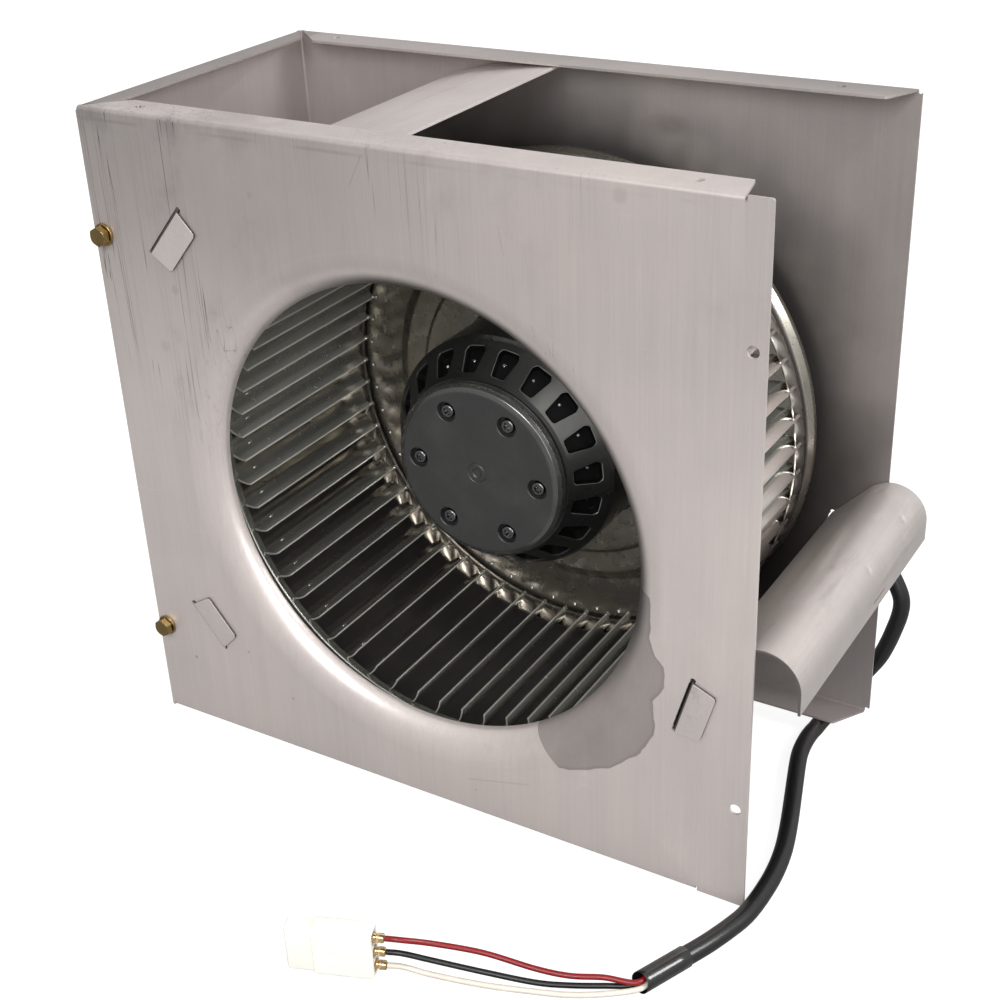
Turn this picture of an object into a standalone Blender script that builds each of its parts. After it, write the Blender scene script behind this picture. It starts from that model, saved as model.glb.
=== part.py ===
"""Combustion fan: single-inlet forward-curved blower with an external-rotor motor.

Frame: origin on the top face of the front plate's outlet flange.
+X to the right seen from the inlet, +Y along the fan axis out of the back, +Z up.
All dimensions are in millimetres about the fan's own centre, the point where the fan
axis meets the outer face of the back plate. FRAME_ORIGIN is the frame's origin in them,
and every piece hangs on one empty that moves the centre to its place in the frame.
Meshes are written in metres.
"""
import bpy
import bmesh
import math
from mathutils import Vector, Matrix

MM = 0.001

# ---------------------------------------------------------------- shared sizes
SHEET = 1.0                 # casing sheet thickness
GAP = 0.3                   # clearance between neighbouring pieces
HALF_W = 140.0              # half width of the plates
Y_FRONT = -140.0            # outer face of the front plate
Y_BACK = 0.0                # outer face of the back plate
Z_BOT = -128.5              # underside of the bottom flanges
Z_TOP = 145.5               # top face of the top flanges
Y_INSIDE_FRONT = Y_FRONT + SHEET + GAP   # just behind the front plate
Y_INSIDE_BACK = Y_BACK - SHEET - GAP     # just in front of the back plate

FLANGE_HOLE_R = 1.8
FLANGE_HOLE_X = (-114.8, 112.0)
FLANGE_HOLE_INSET_FRONT = 8.4            # from the plate's outer face
FLANGE_HOLE_INSET_BACK = 8.0
FLANGE_BOTTOM = 16.0                     # width of both bottom flanges

FRAME_ORIGIN = (60.0, Y_FRONT + FLANGE_HOLE_INSET_FRONT, Z_TOP)

EDGE_HOLE_X = 135.1         # screw holes near the side edges, from the axis
EDGE_HOLE_Z = (95.8, -84.0)
EDGE_HOLE_R = 2.2

# Tabs of the scroll wrap: the two ends of each slot (x, z), in clockwise order seen
# from the inlet, and the fold vector.
TABS = (
    ((117.6, -33.6), (110.9, -56.3), (9.6, -2.8)),      # lower right, folded outwards
    ((-103.0, -85.9), (-117.1, -67.9), (8.7, 6.8)),     # lower left, folded inwards
    ((-111.2, 92.1), (-95.5, 110.3), (8.5, -7.3)),      # upper left, folded inwards
)
TAB_SLOT_W = 1.9            # slot width for the sheet's thickness
TAB_SLOT_EXTRA = 0.6        # the slot runs past the tab by this at each end

CABLE_HOLE = (34.0, -6.0)   # x, z

# ---------------------------------------------------------------- clean start
for old in list(bpy.data.objects):
    bpy.data.objects.remove(old, do_unlink=True)

parts = bpy.data.collections.new("combustion_fan")
cutters = bpy.data.collections.new("cutters")
bpy.context.scene.collection.children.link(parts)
bpy.context.scene.collection.children.link(cutters)

fan_centre = bpy.data.objects.new("fan_centre", None)
parts.objects.link(fan_centre)
fan_centre.location = [-c * MM for c in FRAME_ORIGIN]
fan_axis = bpy.data.objects.new("fan_axis", None)   # carries what turns
parts.objects.link(fan_axis)
fan_axis.parent = fan_centre


# ---------------------------------------------------------------- materials
def material(name, color, rough, metal):
    mat = bpy.data.materials.new(name)
    mat.use_nodes = True
    shader = mat.node_tree.nodes["Principled BSDF"]
    shader.inputs["Base Color"].default_value = (*color, 1.0)
    shader.inputs["Roughness"].default_value = rough
    shader.inputs["Metallic"].default_value = metal
    mat.diffuse_color = (*color, 1.0)
    return mat


GALV = material("galvanised_sheet", color=(0.52, 0.49, 0.48), rough=0.42, metal=0.85)
GALV_DARK = material("galvanised_inner", color=(0.42, 0.39, 0.39), rough=0.45, metal=0.8)
GALV_SCROLL = material("galvanised_scroll", color=(0.56, 0.53, 0.53), rough=0.4, metal=0.8)
BLADE_STEEL = material("blade_steel", color=(0.42, 0.41, 0.39), rough=0.28, metal=1.0)
HUB_STEEL = material("hub_steel", color=(0.5, 0.48, 0.44), rough=0.25, metal=1.0)
BLACK_PAINT = material("motor_black", color=(0.022, 0.024, 0.024), rough=0.38, metal=0.0)
BLACK_CAP = material("cap_black", color=(0.035, 0.037, 0.036), rough=0.5, metal=0.0)
BLACK_SCREW = material("black_screw", color=(0.03, 0.03, 0.03), rough=0.25, metal=0.6)
YELLOW_ZINC = material("yellow_zinc", color=(0.62, 0.47, 0.22), rough=0.3, metal=1.0)
TERMINAL = material("terminal_brass", color=(0.78, 0.55, 0.28), rough=0.25, metal=1.0)
STEEL = material("bright_steel", color=(0.6, 0.6, 0.6), rough=0.25, metal=1.0)
DIECAST = material("diecast_aluminium", color=(0.55, 0.55, 0.56), rough=0.5, metal=0.9)
LAMINATION = material("lamination_steel", color=(0.2, 0.2, 0.21), rough=0.5, metal=0.8)
COPPER = material("winding_copper", color=(0.55, 0.22, 0.08), rough=0.35, metal=1.0)
PVC = material("cable_pvc", color=(0.02, 0.02, 0.02), rough=0.42, metal=0.0)
SLEEVE = material("sleeve_black", color=(0.03, 0.03, 0.03), rough=0.55, metal=0.0)
RUBBER = material("grommet_rubber", color=(0.015, 0.015, 0.015), rough=0.7, metal=0.0)
RED_WIRE = material("wire_red", color=(0.5, 0.02, 0.03), rough=0.4, metal=0.0)
BLACK_WIRE = material("wire_black", color=(0.012, 0.012, 0.012), rough=0.4, metal=0.0)
WHITE_WIRE = material("wire_white", color=(0.85, 0.84, 0.82), rough=0.4, metal=0.0)
NYLON = material("nylon_white", color=(0.88, 0.86, 0.8), rough=0.45, metal=0.0)


# ---------------------------------------------------------------- points and curves
def metres(x, y, z):
    return Vector((x * MM, y * MM, z * MM))


def polar(radius, angle, centre=(0.0, 0.0)):
    return (centre[0] + radius * math.cos(angle), centre[1] + radius * math.sin(angle))


def circle(radius, count, centre=(0.0, 0.0), start=0.0):
    """Evenly spaced points round a circle, from the start angle."""
    return [polar(radius, start + 2 * math.pi * i / count, centre) for i in range(count)]


def spline(controls, per_span):
    """Catmull-Rom points through the control points, per_span points a span."""
    inner = [Vector(c) for c in controls]
    points = [2 * inner[0] - inner[1]] + inner + [2 * inner[-1] - inner[-2]]
    out = []
    for i in range(1, len(points) - 2):
        p0, p1, p2, p3 = points[i - 1:i + 3]
        for k in range(per_span):
            t = k / per_span
            out.append(0.5 * ((2 * p1) + (p2 - p0) * t
                              + (2 * p0 - 5 * p1 + 4 * p2 - p3) * t * t
                              + (3 * p1 - p0 - 3 * p2 + p3) * t * t * t))
    out.append(inner[-1])
    return out


# ---------------------------------------------------------------- objects and modifiers
def add(name, data, mat=None, parent=None):
    """Add an object; one without a material is a hidden cutter or boolean helper."""
    ob = bpy.data.objects.new(name, data)
    ob.parent = parent or fan_centre
    if mat is None:
        cutters.objects.link(ob)
        ob.hide_render = True
        ob.display_type = 'WIRE'
    else:
        parts.objects.link(ob)
        data.materials.append(mat)
    return ob


def boolean(ob, other, operation):
    mod = ob.modifiers.new(operation.lower(), 'BOOLEAN')
    mod.operation = operation
    mod.solver = 'EXACT'
    mod.object = other


def solidify(ob, thickness, offset):
    mod = ob.modifiers.new("sheet", 'SOLIDIFY')
    mod.thickness = thickness * MM
    mod.offset = offset
    mod.use_even_offset = True
    mod.use_quality_normals = True


def bevel(ob, width):
    mod = ob.modifiers.new("edges", 'BEVEL')
    mod.width = width * MM
    mod.segments = 1


def turn(ob, axis, segs):
    """Turn the object's profile a full circle about one of its own axes."""
    mod = ob.modifiers.new("turn", 'SCREW')
    mod.axis = axis
    mod.angle = 2 * math.pi
    mod.steps = segs
    mod.render_steps = segs
    mod.use_merge_vertices = True
    mod.merge_threshold = 0.00001
    mod.use_smooth_shade = True


# ---------------------------------------------------------------- mesh and curve makers
def to_mesh(bm, name):
    mesh = bpy.data.meshes.new(name)
    bm.to_mesh(mesh)
    bm.free()
    return mesh


def outward_mesh(bm, name):
    bmesh.ops.recalc_face_normals(bm, faces=bm.faces)
    return to_mesh(bm, name)


def lathe(name, profile, segs, mat=None, closed=True, parent=None, at=(0, 0)):
    """Turn a (radius, y) profile about the fan axis, or about a line parallel
    to it through at = (x, z)."""
    count = len(profile)
    following = profile[1:] + profile[:1]
    # the outer side has to run against +Y for the faces to point out
    if sum(p[0] * q[1] - q[0] * p[1] for p, q in zip(profile, following)) > 0:
        profile = profile[::-1]
    mesh = bpy.data.meshes.new(name)
    edges = [(i, (i + 1) % count) for i in range(count if closed else count - 1)]
    mesh.from_pydata([(r * MM, y * MM, 0.0) for r, y in profile], edges, [])
    ob = add(name, mesh, mat, parent)
    ob.location = metres(at[0], 0.0, at[1])
    turn(ob, 'Y', segs)
    return ob


def tube_ring(name, outer_r, inner_r, y0, y1, segs, mat=None, parent=None, at=(0, 0)):
    """Plain ring of rectangular section."""
    profile = [(outer_r, y0), (outer_r, y1), (inner_r, y1), (inner_r, y0)]
    return lathe(name, profile, segs, mat, parent=parent, at=at)


# Prism frame whose outline is (x, z) and whose depth runs along the fan axis.
ALONG_Y = Matrix(((1, 0, 0, 0), (0, 0, 1, 0), (0, 1, 0, 0), (0, 0, 0, 1)))


def prism(bm, outline, frame, depth0, depth1):
    """Extrude a flat outline [(u, v)] along the frame's third axis."""
    verts = [bm.verts.new(frame @ metres(u, v, depth0)) for u, v in outline]
    extruded = bmesh.ops.extrude_face_region(bm, geom=[bm.faces.new(verts)])["geom"]
    move = frame.to_3x3() @ metres(0, 0, depth1 - depth0)
    moved = [g for g in extruded if isinstance(g, bmesh.types.BMVert)]
    bmesh.ops.translate(bm, vec=move, verts=moved)


def block(bm, size, centre=(0, 0, 0)):
    verts = bmesh.ops.create_cube(bm, size=1.0)["verts"]
    bmesh.ops.scale(bm, vec=metres(*size), verts=verts)
    bmesh.ops.translate(bm, vec=metres(*centre), verts=verts)


def rod(name, radius, length, segs, centre, mat=None, twist=0.0):
    """Rod along the fan axis with its origin at its middle."""
    bm = bmesh.new()
    bmesh.ops.create_cone(bm, cap_ends=True, segments=segs, radius1=radius * MM,
                          radius2=radius * MM, depth=length * MM)
    for angle, axis in ((twist, 'Z'), (-math.pi / 2, 'X')):
        bmesh.ops.rotate(bm, cent=(0, 0, 0), matrix=Matrix.Rotation(angle, 3, axis),
                         verts=bm.verts)
    ob = add(name, to_mesh(bm, name), mat)
    ob.location = metres(*centre)
    return ob


def tube(name, points, radius, mat):
    curve = bpy.data.curves.new(name, 'CURVE')
    curve.dimensions = '3D'
    curve.bevel_depth = radius * MM
    curve.bevel_resolution = 1
    curve.use_fill_caps = True
    line = curve.splines.new('POLY')
    line.points.add(len(points) - 1)
    for target, point in zip(line.points, points):
        target.co = (*metres(*point), 1.0)
    return add(name, curve, mat)


def flat_curve(name, loops, thickness, centre, mat, parent=None):
    """A flat (x, z) outline with holes, thick along the fan axis."""
    curve = bpy.data.curves.new(name, 'CURVE')
    curve.dimensions = '2D'
    curve.fill_mode = 'BOTH'
    curve.extrude = thickness / 2 * MM
    for loop in loops:
        line = curve.splines.new('POLY')
        line.points.add(len(loop) - 1)
        line.use_cyclic_u = True
        for target, (u, v) in zip(line.points, loop):
            target.co = (u * MM, v * MM, 0.0, 1.0)
    ob = add(name, curve, mat, parent)
    ob.rotation_euler = (math.pi / 2, 0, 0)
    ob.location = metres(*centre)
    return ob


# ---------------------------------------------------------------- sheet metal makers
def sheet_panel(bm, outline, holes, place):
    """Fill a flat panel with holes; place maps (u, v) to a point in space."""
    edges = []
    for loop in [outline] + list(holes):
        verts = [bm.verts.new(metres(*place(u, v))) for u, v in loop]
        edges += [bm.edges.new(pair) for pair in zip(verts, verts[1:] + verts[:1])]
    bmesh.ops.triangle_fill(bm, use_beauty=True, use_dissolve=False, edges=edges)


def flange(bm, z, ends, y_bend, reach, tapers, holes=()):
    """Level flange from a bend between two x ends; it narrows by the (left, right)
    tapers towards its free edge, which lies reach from the bend along Y."""
    (left, right), (taper_left, taper_right) = ends, tapers
    outline = [(left, y_bend), (right, y_bend),
               (right - taper_right, y_bend + reach), (left + taper_left, y_bend + reach)]
    sheet_panel(bm, outline, holes, lambda u, v: (u, v, z))


def flange_holes(y):
    return [circle(FLANGE_HOLE_R, 12, (x, y)) for x in FLANGE_HOLE_X]


def tab_slots():
    """Four corners of the slot for each tab, a little longer than the tab."""
    slots = []
    for start, end, _ in TABS:
        start, end = Vector(start), Vector(end)
        along = (end - start).normalized()
        across = Vector((-along.y, along.x)) * (TAB_SLOT_W / 2)
        start = start - along * TAB_SLOT_EXTRA
        end = end + along * TAB_SLOT_EXTRA
        slots.append([start + across, end + across, end - across, start - across])
    return slots


def sheet_piece(bm, name, mat, near, facing, sharp_deg, offset):
    """Weld the panels, turn the surface so that the face nearest the point near
    looks along facing, and give it the sheet's thickness."""
    bmesh.ops.remove_doubles(bm, verts=bm.verts, dist=0.00002)
    bmesh.ops.recalc_face_normals(bm, faces=bm.faces)
    nearest = min(bm.faces, key=lambda f: (f.calc_center_median() - metres(*near)).length)
    if nearest.normal.dot(Vector(facing)) < 0:
        bmesh.ops.reverse_faces(bm, faces=bm.faces)
    mesh = to_mesh(bm, name)
    mesh.shade_smooth()
    mesh.set_sharp_from_angle(angle=math.radians(sharp_deg))
    ob = add(name, mesh, mat)
    solidify(ob, SHEET, offset)
    return ob


# ---------------------------------------------------------------- front plate
FLANGE_FRONT = 15.5         # top flange width
FRONT_TOP_ENDS = (-HALF_W + 0.5, HALF_W - 9.5)       # top flange on its bend
FRONT_BOTTOM_ENDS = (-HALF_W + 1.6, HALF_W - 20.0)   # bottom flange on its bend
FRONT_TOP_TAPER = 3.0       # at the right end
FRONT_BOTTOM_TAPER = 4.0    # at the right end

BELLMOUTH_R_OUT = 108.0     # where the bellmouth leaves the plate
BELLMOUTH_R_IN = 93.2       # inlet throat radius
BELLMOUTH_DEPTH = 8.4       # how far the throat lies behind the plate
BELLMOUTH_SEGS = 56
BELLMOUTH_STEPS = 4


def spin_bellmouth(bm):
    """Quarter-ellipse section spun about the fan axis."""
    verts = []
    for i in range(BELLMOUTH_STEPS + 1):
        angle = math.pi / 2 * i / BELLMOUTH_STEPS
        radius = BELLMOUTH_R_OUT - (BELLMOUTH_R_OUT - BELLMOUTH_R_IN) * math.sin(angle)
        y = Y_FRONT + BELLMOUTH_DEPTH * (1 - math.cos(angle))
        verts.append(bm.verts.new(metres(radius, y, 0)))
    edges = [bm.edges.new(pair) for pair in zip(verts[:-1], verts[1:])]
    bmesh.ops.spin(bm, geom=verts + edges, cent=(0, 0, 0), axis=(0, 1, 0),
                   angle=2 * math.pi, steps=BELLMOUTH_SEGS, use_merge=True,
                   use_duplicate=False)


def build_front_plate():
    bm = bmesh.new()
    top_left, top_right = FRONT_TOP_ENDS
    bottom_left, bottom_right = FRONT_BOTTOM_ENDS
    # the outline has a corner at each flange end, so that the flanges weld to it
    outline = [(-HALF_W, Z_BOT), (bottom_left, Z_BOT), (bottom_right, Z_BOT), (HALF_W, Z_BOT),
               (HALF_W, Z_TOP), (top_right, Z_TOP), (top_left, Z_TOP), (-HALF_W, Z_TOP)]
    holes = [circle(BELLMOUTH_R_OUT, BELLMOUTH_SEGS)]
    for x in (-EDGE_HOLE_X, EDGE_HOLE_X):
        for z in EDGE_HOLE_Z:
            holes.append(circle(EDGE_HOLE_R, 12, (x, z)))
    holes += tab_slots()
    sheet_panel(bm, outline, holes, lambda u, v: (u, Y_FRONT, v))
    flange(bm, Z_TOP, FRONT_TOP_ENDS, Y_FRONT, FLANGE_FRONT,
           tapers=(FLANGE_FRONT, FRONT_TOP_TAPER),
           holes=flange_holes(Y_FRONT + FLANGE_HOLE_INSET_FRONT))
    flange(bm, Z_BOT, FRONT_BOTTOM_ENDS, Y_FRONT, FLANGE_BOTTOM,
           tapers=(0.0, FRONT_BOTTOM_TAPER))
    spin_bellmouth(bm)
    sheet_piece(bm, "front_plate", GALV, near=(0, Y_FRONT, -115), facing=(0, -1, 0),
                sharp_deg=35, offset=-1.0)


# ---------------------------------------------------------------- back and side panel
FLANGE_BACK = 16.0          # top flange width of the back plate
FLANGE_LEFT = 10.5          # top flange width of the side wall
CORNER_NOTCH = 3.0          # notch in the upper left back corner
BACK_TOP_ENDS = (-HALF_W + CORNER_NOTCH, HALF_W - 1.5)
BACK_BOTTOM_ENDS = (-HALF_W + 3.0, HALF_W - 2.0)
BACK_TOP_TAPER = 7.0        # at the right end
BACK_BOTTOM_TAPER = 9.0     # at the right end
BACK_CORNER_CUTS = (2.0, 1.5)   # heights cut off the lower and upper right corners
BACK_CABLE_HOLE_R = 6.0
BACK_SCREW_HOLE_R = 2.3
MOTOR_SCREWS = circle(38.0, 4, start=math.radians(45))   # (x, z) of each
LUG_HALF_H = 15.0           # screw lugs folded in behind the front plate
LUG_REACH = 12.0
LUG_TAPER = 2.0


def build_back_side_panel():
    bm = bmesh.new()
    top_left, top_right = BACK_TOP_ENDS
    bottom_left, bottom_right = BACK_BOTTOM_ENDS
    lower_cut, upper_cut = BACK_CORNER_CUTS
    notch_z = Z_TOP - CORNER_NOTCH
    notch_y = Y_BACK - CORNER_NOTCH
    lugs = [(z, z - LUG_HALF_H, z + LUG_HALF_H) for z in EDGE_HOLE_Z]
    # back plate
    outline = [(-HALF_W, Z_BOT), (bottom_left, Z_BOT), (bottom_right, Z_BOT),
               (HALF_W, Z_BOT + lower_cut), (HALF_W, Z_TOP - upper_cut),
               (top_right, Z_TOP), (top_left, Z_TOP), (top_left, notch_z),
               (-HALF_W, notch_z)]
    holes = [circle(BACK_CABLE_HOLE_R, 16, CABLE_HOLE)]
    holes += [circle(BACK_SCREW_HOLE_R, 12, at) for at in MOTOR_SCREWS]
    holes += tab_slots()
    sheet_panel(bm, outline, holes, lambda u, v: (u, Y_BACK, v))
    flange(bm, Z_TOP, BACK_TOP_ENDS, Y_BACK, -FLANGE_BACK,
           tapers=(FLANGE_BACK, BACK_TOP_TAPER),
           holes=flange_holes(Y_BACK - FLANGE_HOLE_INSET_BACK))
    flange(bm, Z_BOT, BACK_BOTTOM_ENDS, Y_BACK, -FLANGE_BOTTOM,
           tapers=(0.0, BACK_BOTTOM_TAPER))
    # side wall (y, z), folded forward from the back plate
    side = [(Y_BACK, Z_BOT), (Y_BACK, notch_z), (notch_y, notch_z), (notch_y, Z_TOP),
            (Y_INSIDE_FRONT, Z_TOP)]
    for _, low, high in lugs:
        side += [(Y_INSIDE_FRONT, high), (Y_INSIDE_FRONT, low)]
    side.append((Y_INSIDE_FRONT, Z_BOT))
    sheet_panel(bm, side, [], lambda u, v: (-HALF_W, u, v))
    # top flange of the side wall, mitred at both ends
    free_x = -HALF_W + FLANGE_LEFT
    left_top = [(-HALF_W, notch_y), (free_x, notch_y - FLANGE_LEFT),
                (free_x, Y_INSIDE_FRONT + FLANGE_LEFT), (-HALF_W, Y_INSIDE_FRONT)]
    sheet_panel(bm, left_top, [], lambda u, v: (u, v, Z_TOP))
    for z, low, high in lugs:
        lug = [(-HALF_W, low), (-HALF_W, high), (-HALF_W + LUG_REACH, high - LUG_TAPER),
               (-HALF_W + LUG_REACH, low + LUG_TAPER)]
        sheet_panel(bm, lug, [circle(EDGE_HOLE_R, 12, (-EDGE_HOLE_X, z))],
                    lambda u, v: (u, Y_INSIDE_FRONT, v))
    sheet_piece(bm, "back_side_panel", GALV_DARK, near=(90, Y_BACK, 90), facing=(0, 1, 0),
                sharp_deg=35, offset=-1.0)


# ---------------------------------------------------------------- scroll wrap
# Centre line between the tabs: clockwise angle from +X (degrees), radius from the axis.
SCROLL_RADII = ((26.9, 124.4), (60.0, 125.2), (90.0, 126.3), (115.0, 129.8),
                (140.2, 134.1), (149.9, 135.4), (180.0, 137.9), (200.0, 141.0),
                (219.6, 144.4), (229.1, 145.9), (247.0, 146.0))
# Last stretch along the top (x, z).
SCROLL_END = ((-42.0, 138.4), (-26.0, 140.9), (-14.0, 142.5), (-3.4, 143.6))
NOSE_CENTRE = (142.8, -27.7)    # half-round cut-off nose
NOSE_R = 13.7
NOSE_DROP = 8.4             # straight free edge under the nose
NOSE_STEPS = 9
NOSE_SLOT_Y = (-64.0, -51.0)    # narrow slot near the nose's free edge
NOSE_SLOT_DROP = 4.5        # below the nose centre
NOSE_SLOT_H = 1.2
NOSE_SLOT_CUT_W = 6.0       # cutter's size through the sheet
TAB_END_TAPER = 1.2         # each side of a tab's folded end
SAMPLE_SPACING = 0.02       # least angle from one spiral point to the next, radians
TAB_CLEARANCE = 0.03        # spiral points this close to a tab give way to it, radians


def clockwise(point):
    """Clockwise angle of (x, z) from +X, seen from the inlet."""
    return -math.atan2(point[1], point[0]) % (2 * math.pi)


def nose_points():
    """From the free edge up and over the nose, to where it runs off straight
    towards the first tab."""
    tab_start = Vector(TABS[0][0])
    centre = Vector(NOSE_CENTRE)
    to_centre = centre - tab_start
    reach = math.sqrt(to_centre.length ** 2 - NOSE_R ** 2)
    rise = math.atan2(to_centre.y, to_centre.x) + math.asin(NOSE_R / to_centre.length)
    radial = tab_start + Vector(polar(reach, rise)) - centre
    sweep = math.atan2(radial.y, radial.x)
    points = [(NOSE_CENTRE[0] + NOSE_R, NOSE_CENTRE[1] - NOSE_DROP)]
    points += [polar(NOSE_R, sweep * i / NOSE_STEPS, NOSE_CENTRE)
               for i in range(NOSE_STEPS + 1)]
    return points


def scroll_line():
    """Centre line of the wrap (x, z), from the nose's free edge round to the top."""
    line = nose_points() + [TABS[0][0], TABS[0][1]]
    last = clockwise(TABS[0][1])
    controls = [(math.radians(angle), radius, 0.0) for angle, radius in SCROLL_RADII]
    for angle, radius, _ in spline(controls, 4):
        if angle <= last + SAMPLE_SPACING:
            continue
        for start, end, _ in TABS[1:]:
            first, final = clockwise(start), clockwise(end)
            if first - TAB_CLEARANCE < angle < final + TAB_CLEARANCE:
                # the tab's own two ends stand in for the spiral here, once
                if last < first:
                    line += [start, end]
                    last = final
                break
        else:
            line.append(polar(radius, -angle))
            last = angle
    return line + list(SCROLL_END)


def add_tabs(bm, line, rows):
    """Tabs at both edges: through the slot, then folded flat on the outside."""
    for start, end, fold in TABS:
        fold = Vector(fold)
        taper = (Vector(end) - Vector(start)).normalized() * TAB_END_TAPER
        far_start = Vector(start) + fold + taper
        far_end = Vector(end) + fold - taper
        sides = (Y_FRONT - GAP - SHEET / 2, Y_BACK + GAP + SHEET / 2)
        for side, y in enumerate(sides):
            edge_start = rows[line.index(start)][side]
            edge_end = rows[line.index(end)][side]
            bend_start, bend_end, tip_start, tip_end = [
                bm.verts.new(metres(x, y, z)) for x, z in (start, end, far_start, far_end)]
            bm.faces.new((edge_start, edge_end, bend_end, bend_start))
            bm.faces.new((bend_start, bend_end, tip_end, tip_start))


def build_scroll_wrap():
    line = scroll_line()
    bm = bmesh.new()
    rows = [[bm.verts.new(metres(x, y, z)) for y in (Y_INSIDE_FRONT, Y_INSIDE_BACK)]
            for x, z in line]
    for (a_front, a_back), (b_front, b_back) in zip(rows[:-1], rows[1:]):
        bm.faces.new((a_front, b_front, b_back, a_back))
    add_tabs(bm, line, rows)
    wrap = sheet_piece(bm, "scroll_wrap", GALV_SCROLL, near=(0, -70, -130),
                       facing=(0, 0, -1), sharp_deg=40, offset=0.0)
    cut = bmesh.new()
    block(cut, (NOSE_SLOT_CUT_W, NOSE_SLOT_Y[1] - NOSE_SLOT_Y[0], NOSE_SLOT_H),
          (NOSE_CENTRE[0] + NOSE_R, sum(NOSE_SLOT_Y) / 2, NOSE_CENTRE[1] - NOSE_SLOT_DROP))
    boolean(wrap, add("cut_nose_slot", outward_mesh(cut, "cut_nose_slot")), 'DIFFERENCE')


# ---------------------------------------------------------------- side fasteners
HEX_R = 4.04                # screw head and nut, to the corners
SIDE_HEAD_T = 3.0
SIDE_HEAD_Y = Y_FRONT - 3.0     # middle of the head
SIDE_SHANK_R = 1.9
SIDE_SHANK_Y = (Y_FRONT - 2.5, Y_FRONT + 8.0)
SIDE_WASHER_R = 4.5
SIDE_WASHER_FRONT = Y_FRONT - 1.2
FASTENER_HOLE_R = 2.2       # bore of washer and nut
SIDE_NUT_T = 2.8


def build_side_fasteners():
    """Screw, washer and nut through the front plate and each lug."""
    x = -EDGE_HOLE_X
    lug_back = Y_INSIDE_FRONT + SHEET
    shank_front, shank_back = SIDE_SHANK_Y
    for z, tag in zip(EDGE_HOLE_Z, ("upper", "lower")):
        screw = rod("side_screw_" + tag, HEX_R, SIDE_HEAD_T, 6, (x, SIDE_HEAD_Y, z),
                    YELLOW_ZINC, twist=math.pi / 6)
        shank = rod("shank_side_" + tag, SIDE_SHANK_R, shank_back - shank_front, 12,
                    (x, (shank_front + shank_back) / 2, z))
        boolean(screw, shank, 'UNION')
        tube_ring("side_washer_" + tag, SIDE_WASHER_R, FASTENER_HOLE_R, Y_FRONT - GAP,
                  SIDE_WASHER_FRONT, 16, YELLOW_ZINC, at=(x, z))
        flat_curve("side_nut_" + tag,
                   [circle(HEX_R, 6, start=math.pi / 6), circle(FASTENER_HOLE_R, 12)],
                   SIDE_NUT_T, (x, lug_back + GAP + SIDE_NUT_T / 2, z), STEEL)


# ---------------------------------------------------------------- impeller
N_BLADES = 57
BLADE_R_IN = 98.8
BLADE_CHORD_R = 12.0        # radius of the blade arc
BLADE_TURN = math.radians(62.0)
BLADE_STEPS = 2
BLADE_T = 0.6
BLADE_Y_FRONT = -118.0
BLADE_FRONT_SLANT = 1.2     # the front edge lies this far back at its inner end
BLADE_Y_REAR_IN = -28.0
BLADE_Y_REAR_OUT = -21.0
RING_R = 110.5
RING_R_IN = 105.6
RING_Y = (-119.6, -115.6)
REAR_BAND_R = (109.9, 108.7)
REAR_BAND_Y = (-27.0, -13.4)
HUB_T = 0.8
HUB_RIM_R = RING_R - 0.4
# Hub disc (radius, y), from the collar round the rotor out to the rim.
HUB_PROFILE = [(51.7, -14.0), (51.7, -22.0), (69.5, -22.0), (71.5, -18.6), (82.0, -18.6),
               (88.0, -12.9), (107.8, -12.9), (HUB_RIM_R, -9.0), (HUB_RIM_R, -7.0)]


def blade_strips():
    """Arcs that leave the inner edge radially and lean into the turn."""
    bm = bmesh.new()
    for k in range(N_BLADES):
        around = 2 * math.pi * k / N_BLADES
        rows = []
        for i in range(BLADE_STEPS + 1):
            out = i / BLADE_STEPS
            bend = BLADE_TURN * out
            radial = BLADE_R_IN + BLADE_CHORD_R * math.sin(bend)
            lean = BLADE_CHORD_R * (1 - math.cos(bend))
            # clockwise seen from the inlet is -angle in the x-z plane
            x = radial * math.cos(around) + lean * math.sin(around)
            z = radial * math.sin(around) - lean * math.cos(around)
            front = BLADE_Y_FRONT + (1 - out) * BLADE_FRONT_SLANT
            rear = BLADE_Y_REAR_IN + (BLADE_Y_REAR_OUT - BLADE_Y_REAR_IN) * out
            rows.append([bm.verts.new(metres(x, y, z)) for y in (front, rear)])
        for (a_front, a_rear), (b_front, b_rear) in zip(rows[:-1], rows[1:]):
            bm.faces.new((a_front, b_front, b_rear, a_rear))
    strips = add("blade_strips", outward_mesh(bm, "blade_strips"))
    solidify(strips, BLADE_T, 0.0)
    return strips


def build_impeller():
    blades = blade_strips()
    band = tube_ring("rear_band", *REAR_BAND_R, *REAR_BAND_Y, N_BLADES)
    cage = tube_ring("impeller_blade_cage", RING_R, RING_R_IN, *RING_Y, N_BLADES,
                     BLADE_STEEL, parent=fan_axis)
    boolean(cage, blades, 'UNION')
    boolean(cage, band, 'UNION')
    hub = lathe("impeller_hub_disc", HUB_PROFILE, 36, HUB_STEEL, closed=False,
                parent=fan_axis)
    solidify(hub, HUB_T, 0.0)


# ---------------------------------------------------------------- rotor
ROTOR_R = 51.0
ROTOR_FRONT_Y = -86.2       # front face of the bell
SHOULDER_IN = (38.6, ROTOR_FRONT_Y)     # sloping shoulder (radius, y)
SHOULDER_OUT = (50.0, -72.2)
# Bell (radius, y): front face, shoulder, outer wall, then back along the inside.
ROTOR_PROFILE = [(4.0, ROTOR_FRONT_Y), (38.0, ROTOR_FRONT_Y), SHOULDER_IN, SHOULDER_OUT,
                 (ROTOR_R, -70.5), (ROTOR_R, -12.5), (49.8, -12.0), (46.3, -12.0),
                 (46.3, -68.5), (36.5, -77.2), (9.0, -77.2), (9.0, -75.0), (4.0, -75.0)]
N_POCKETS = 19
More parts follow.
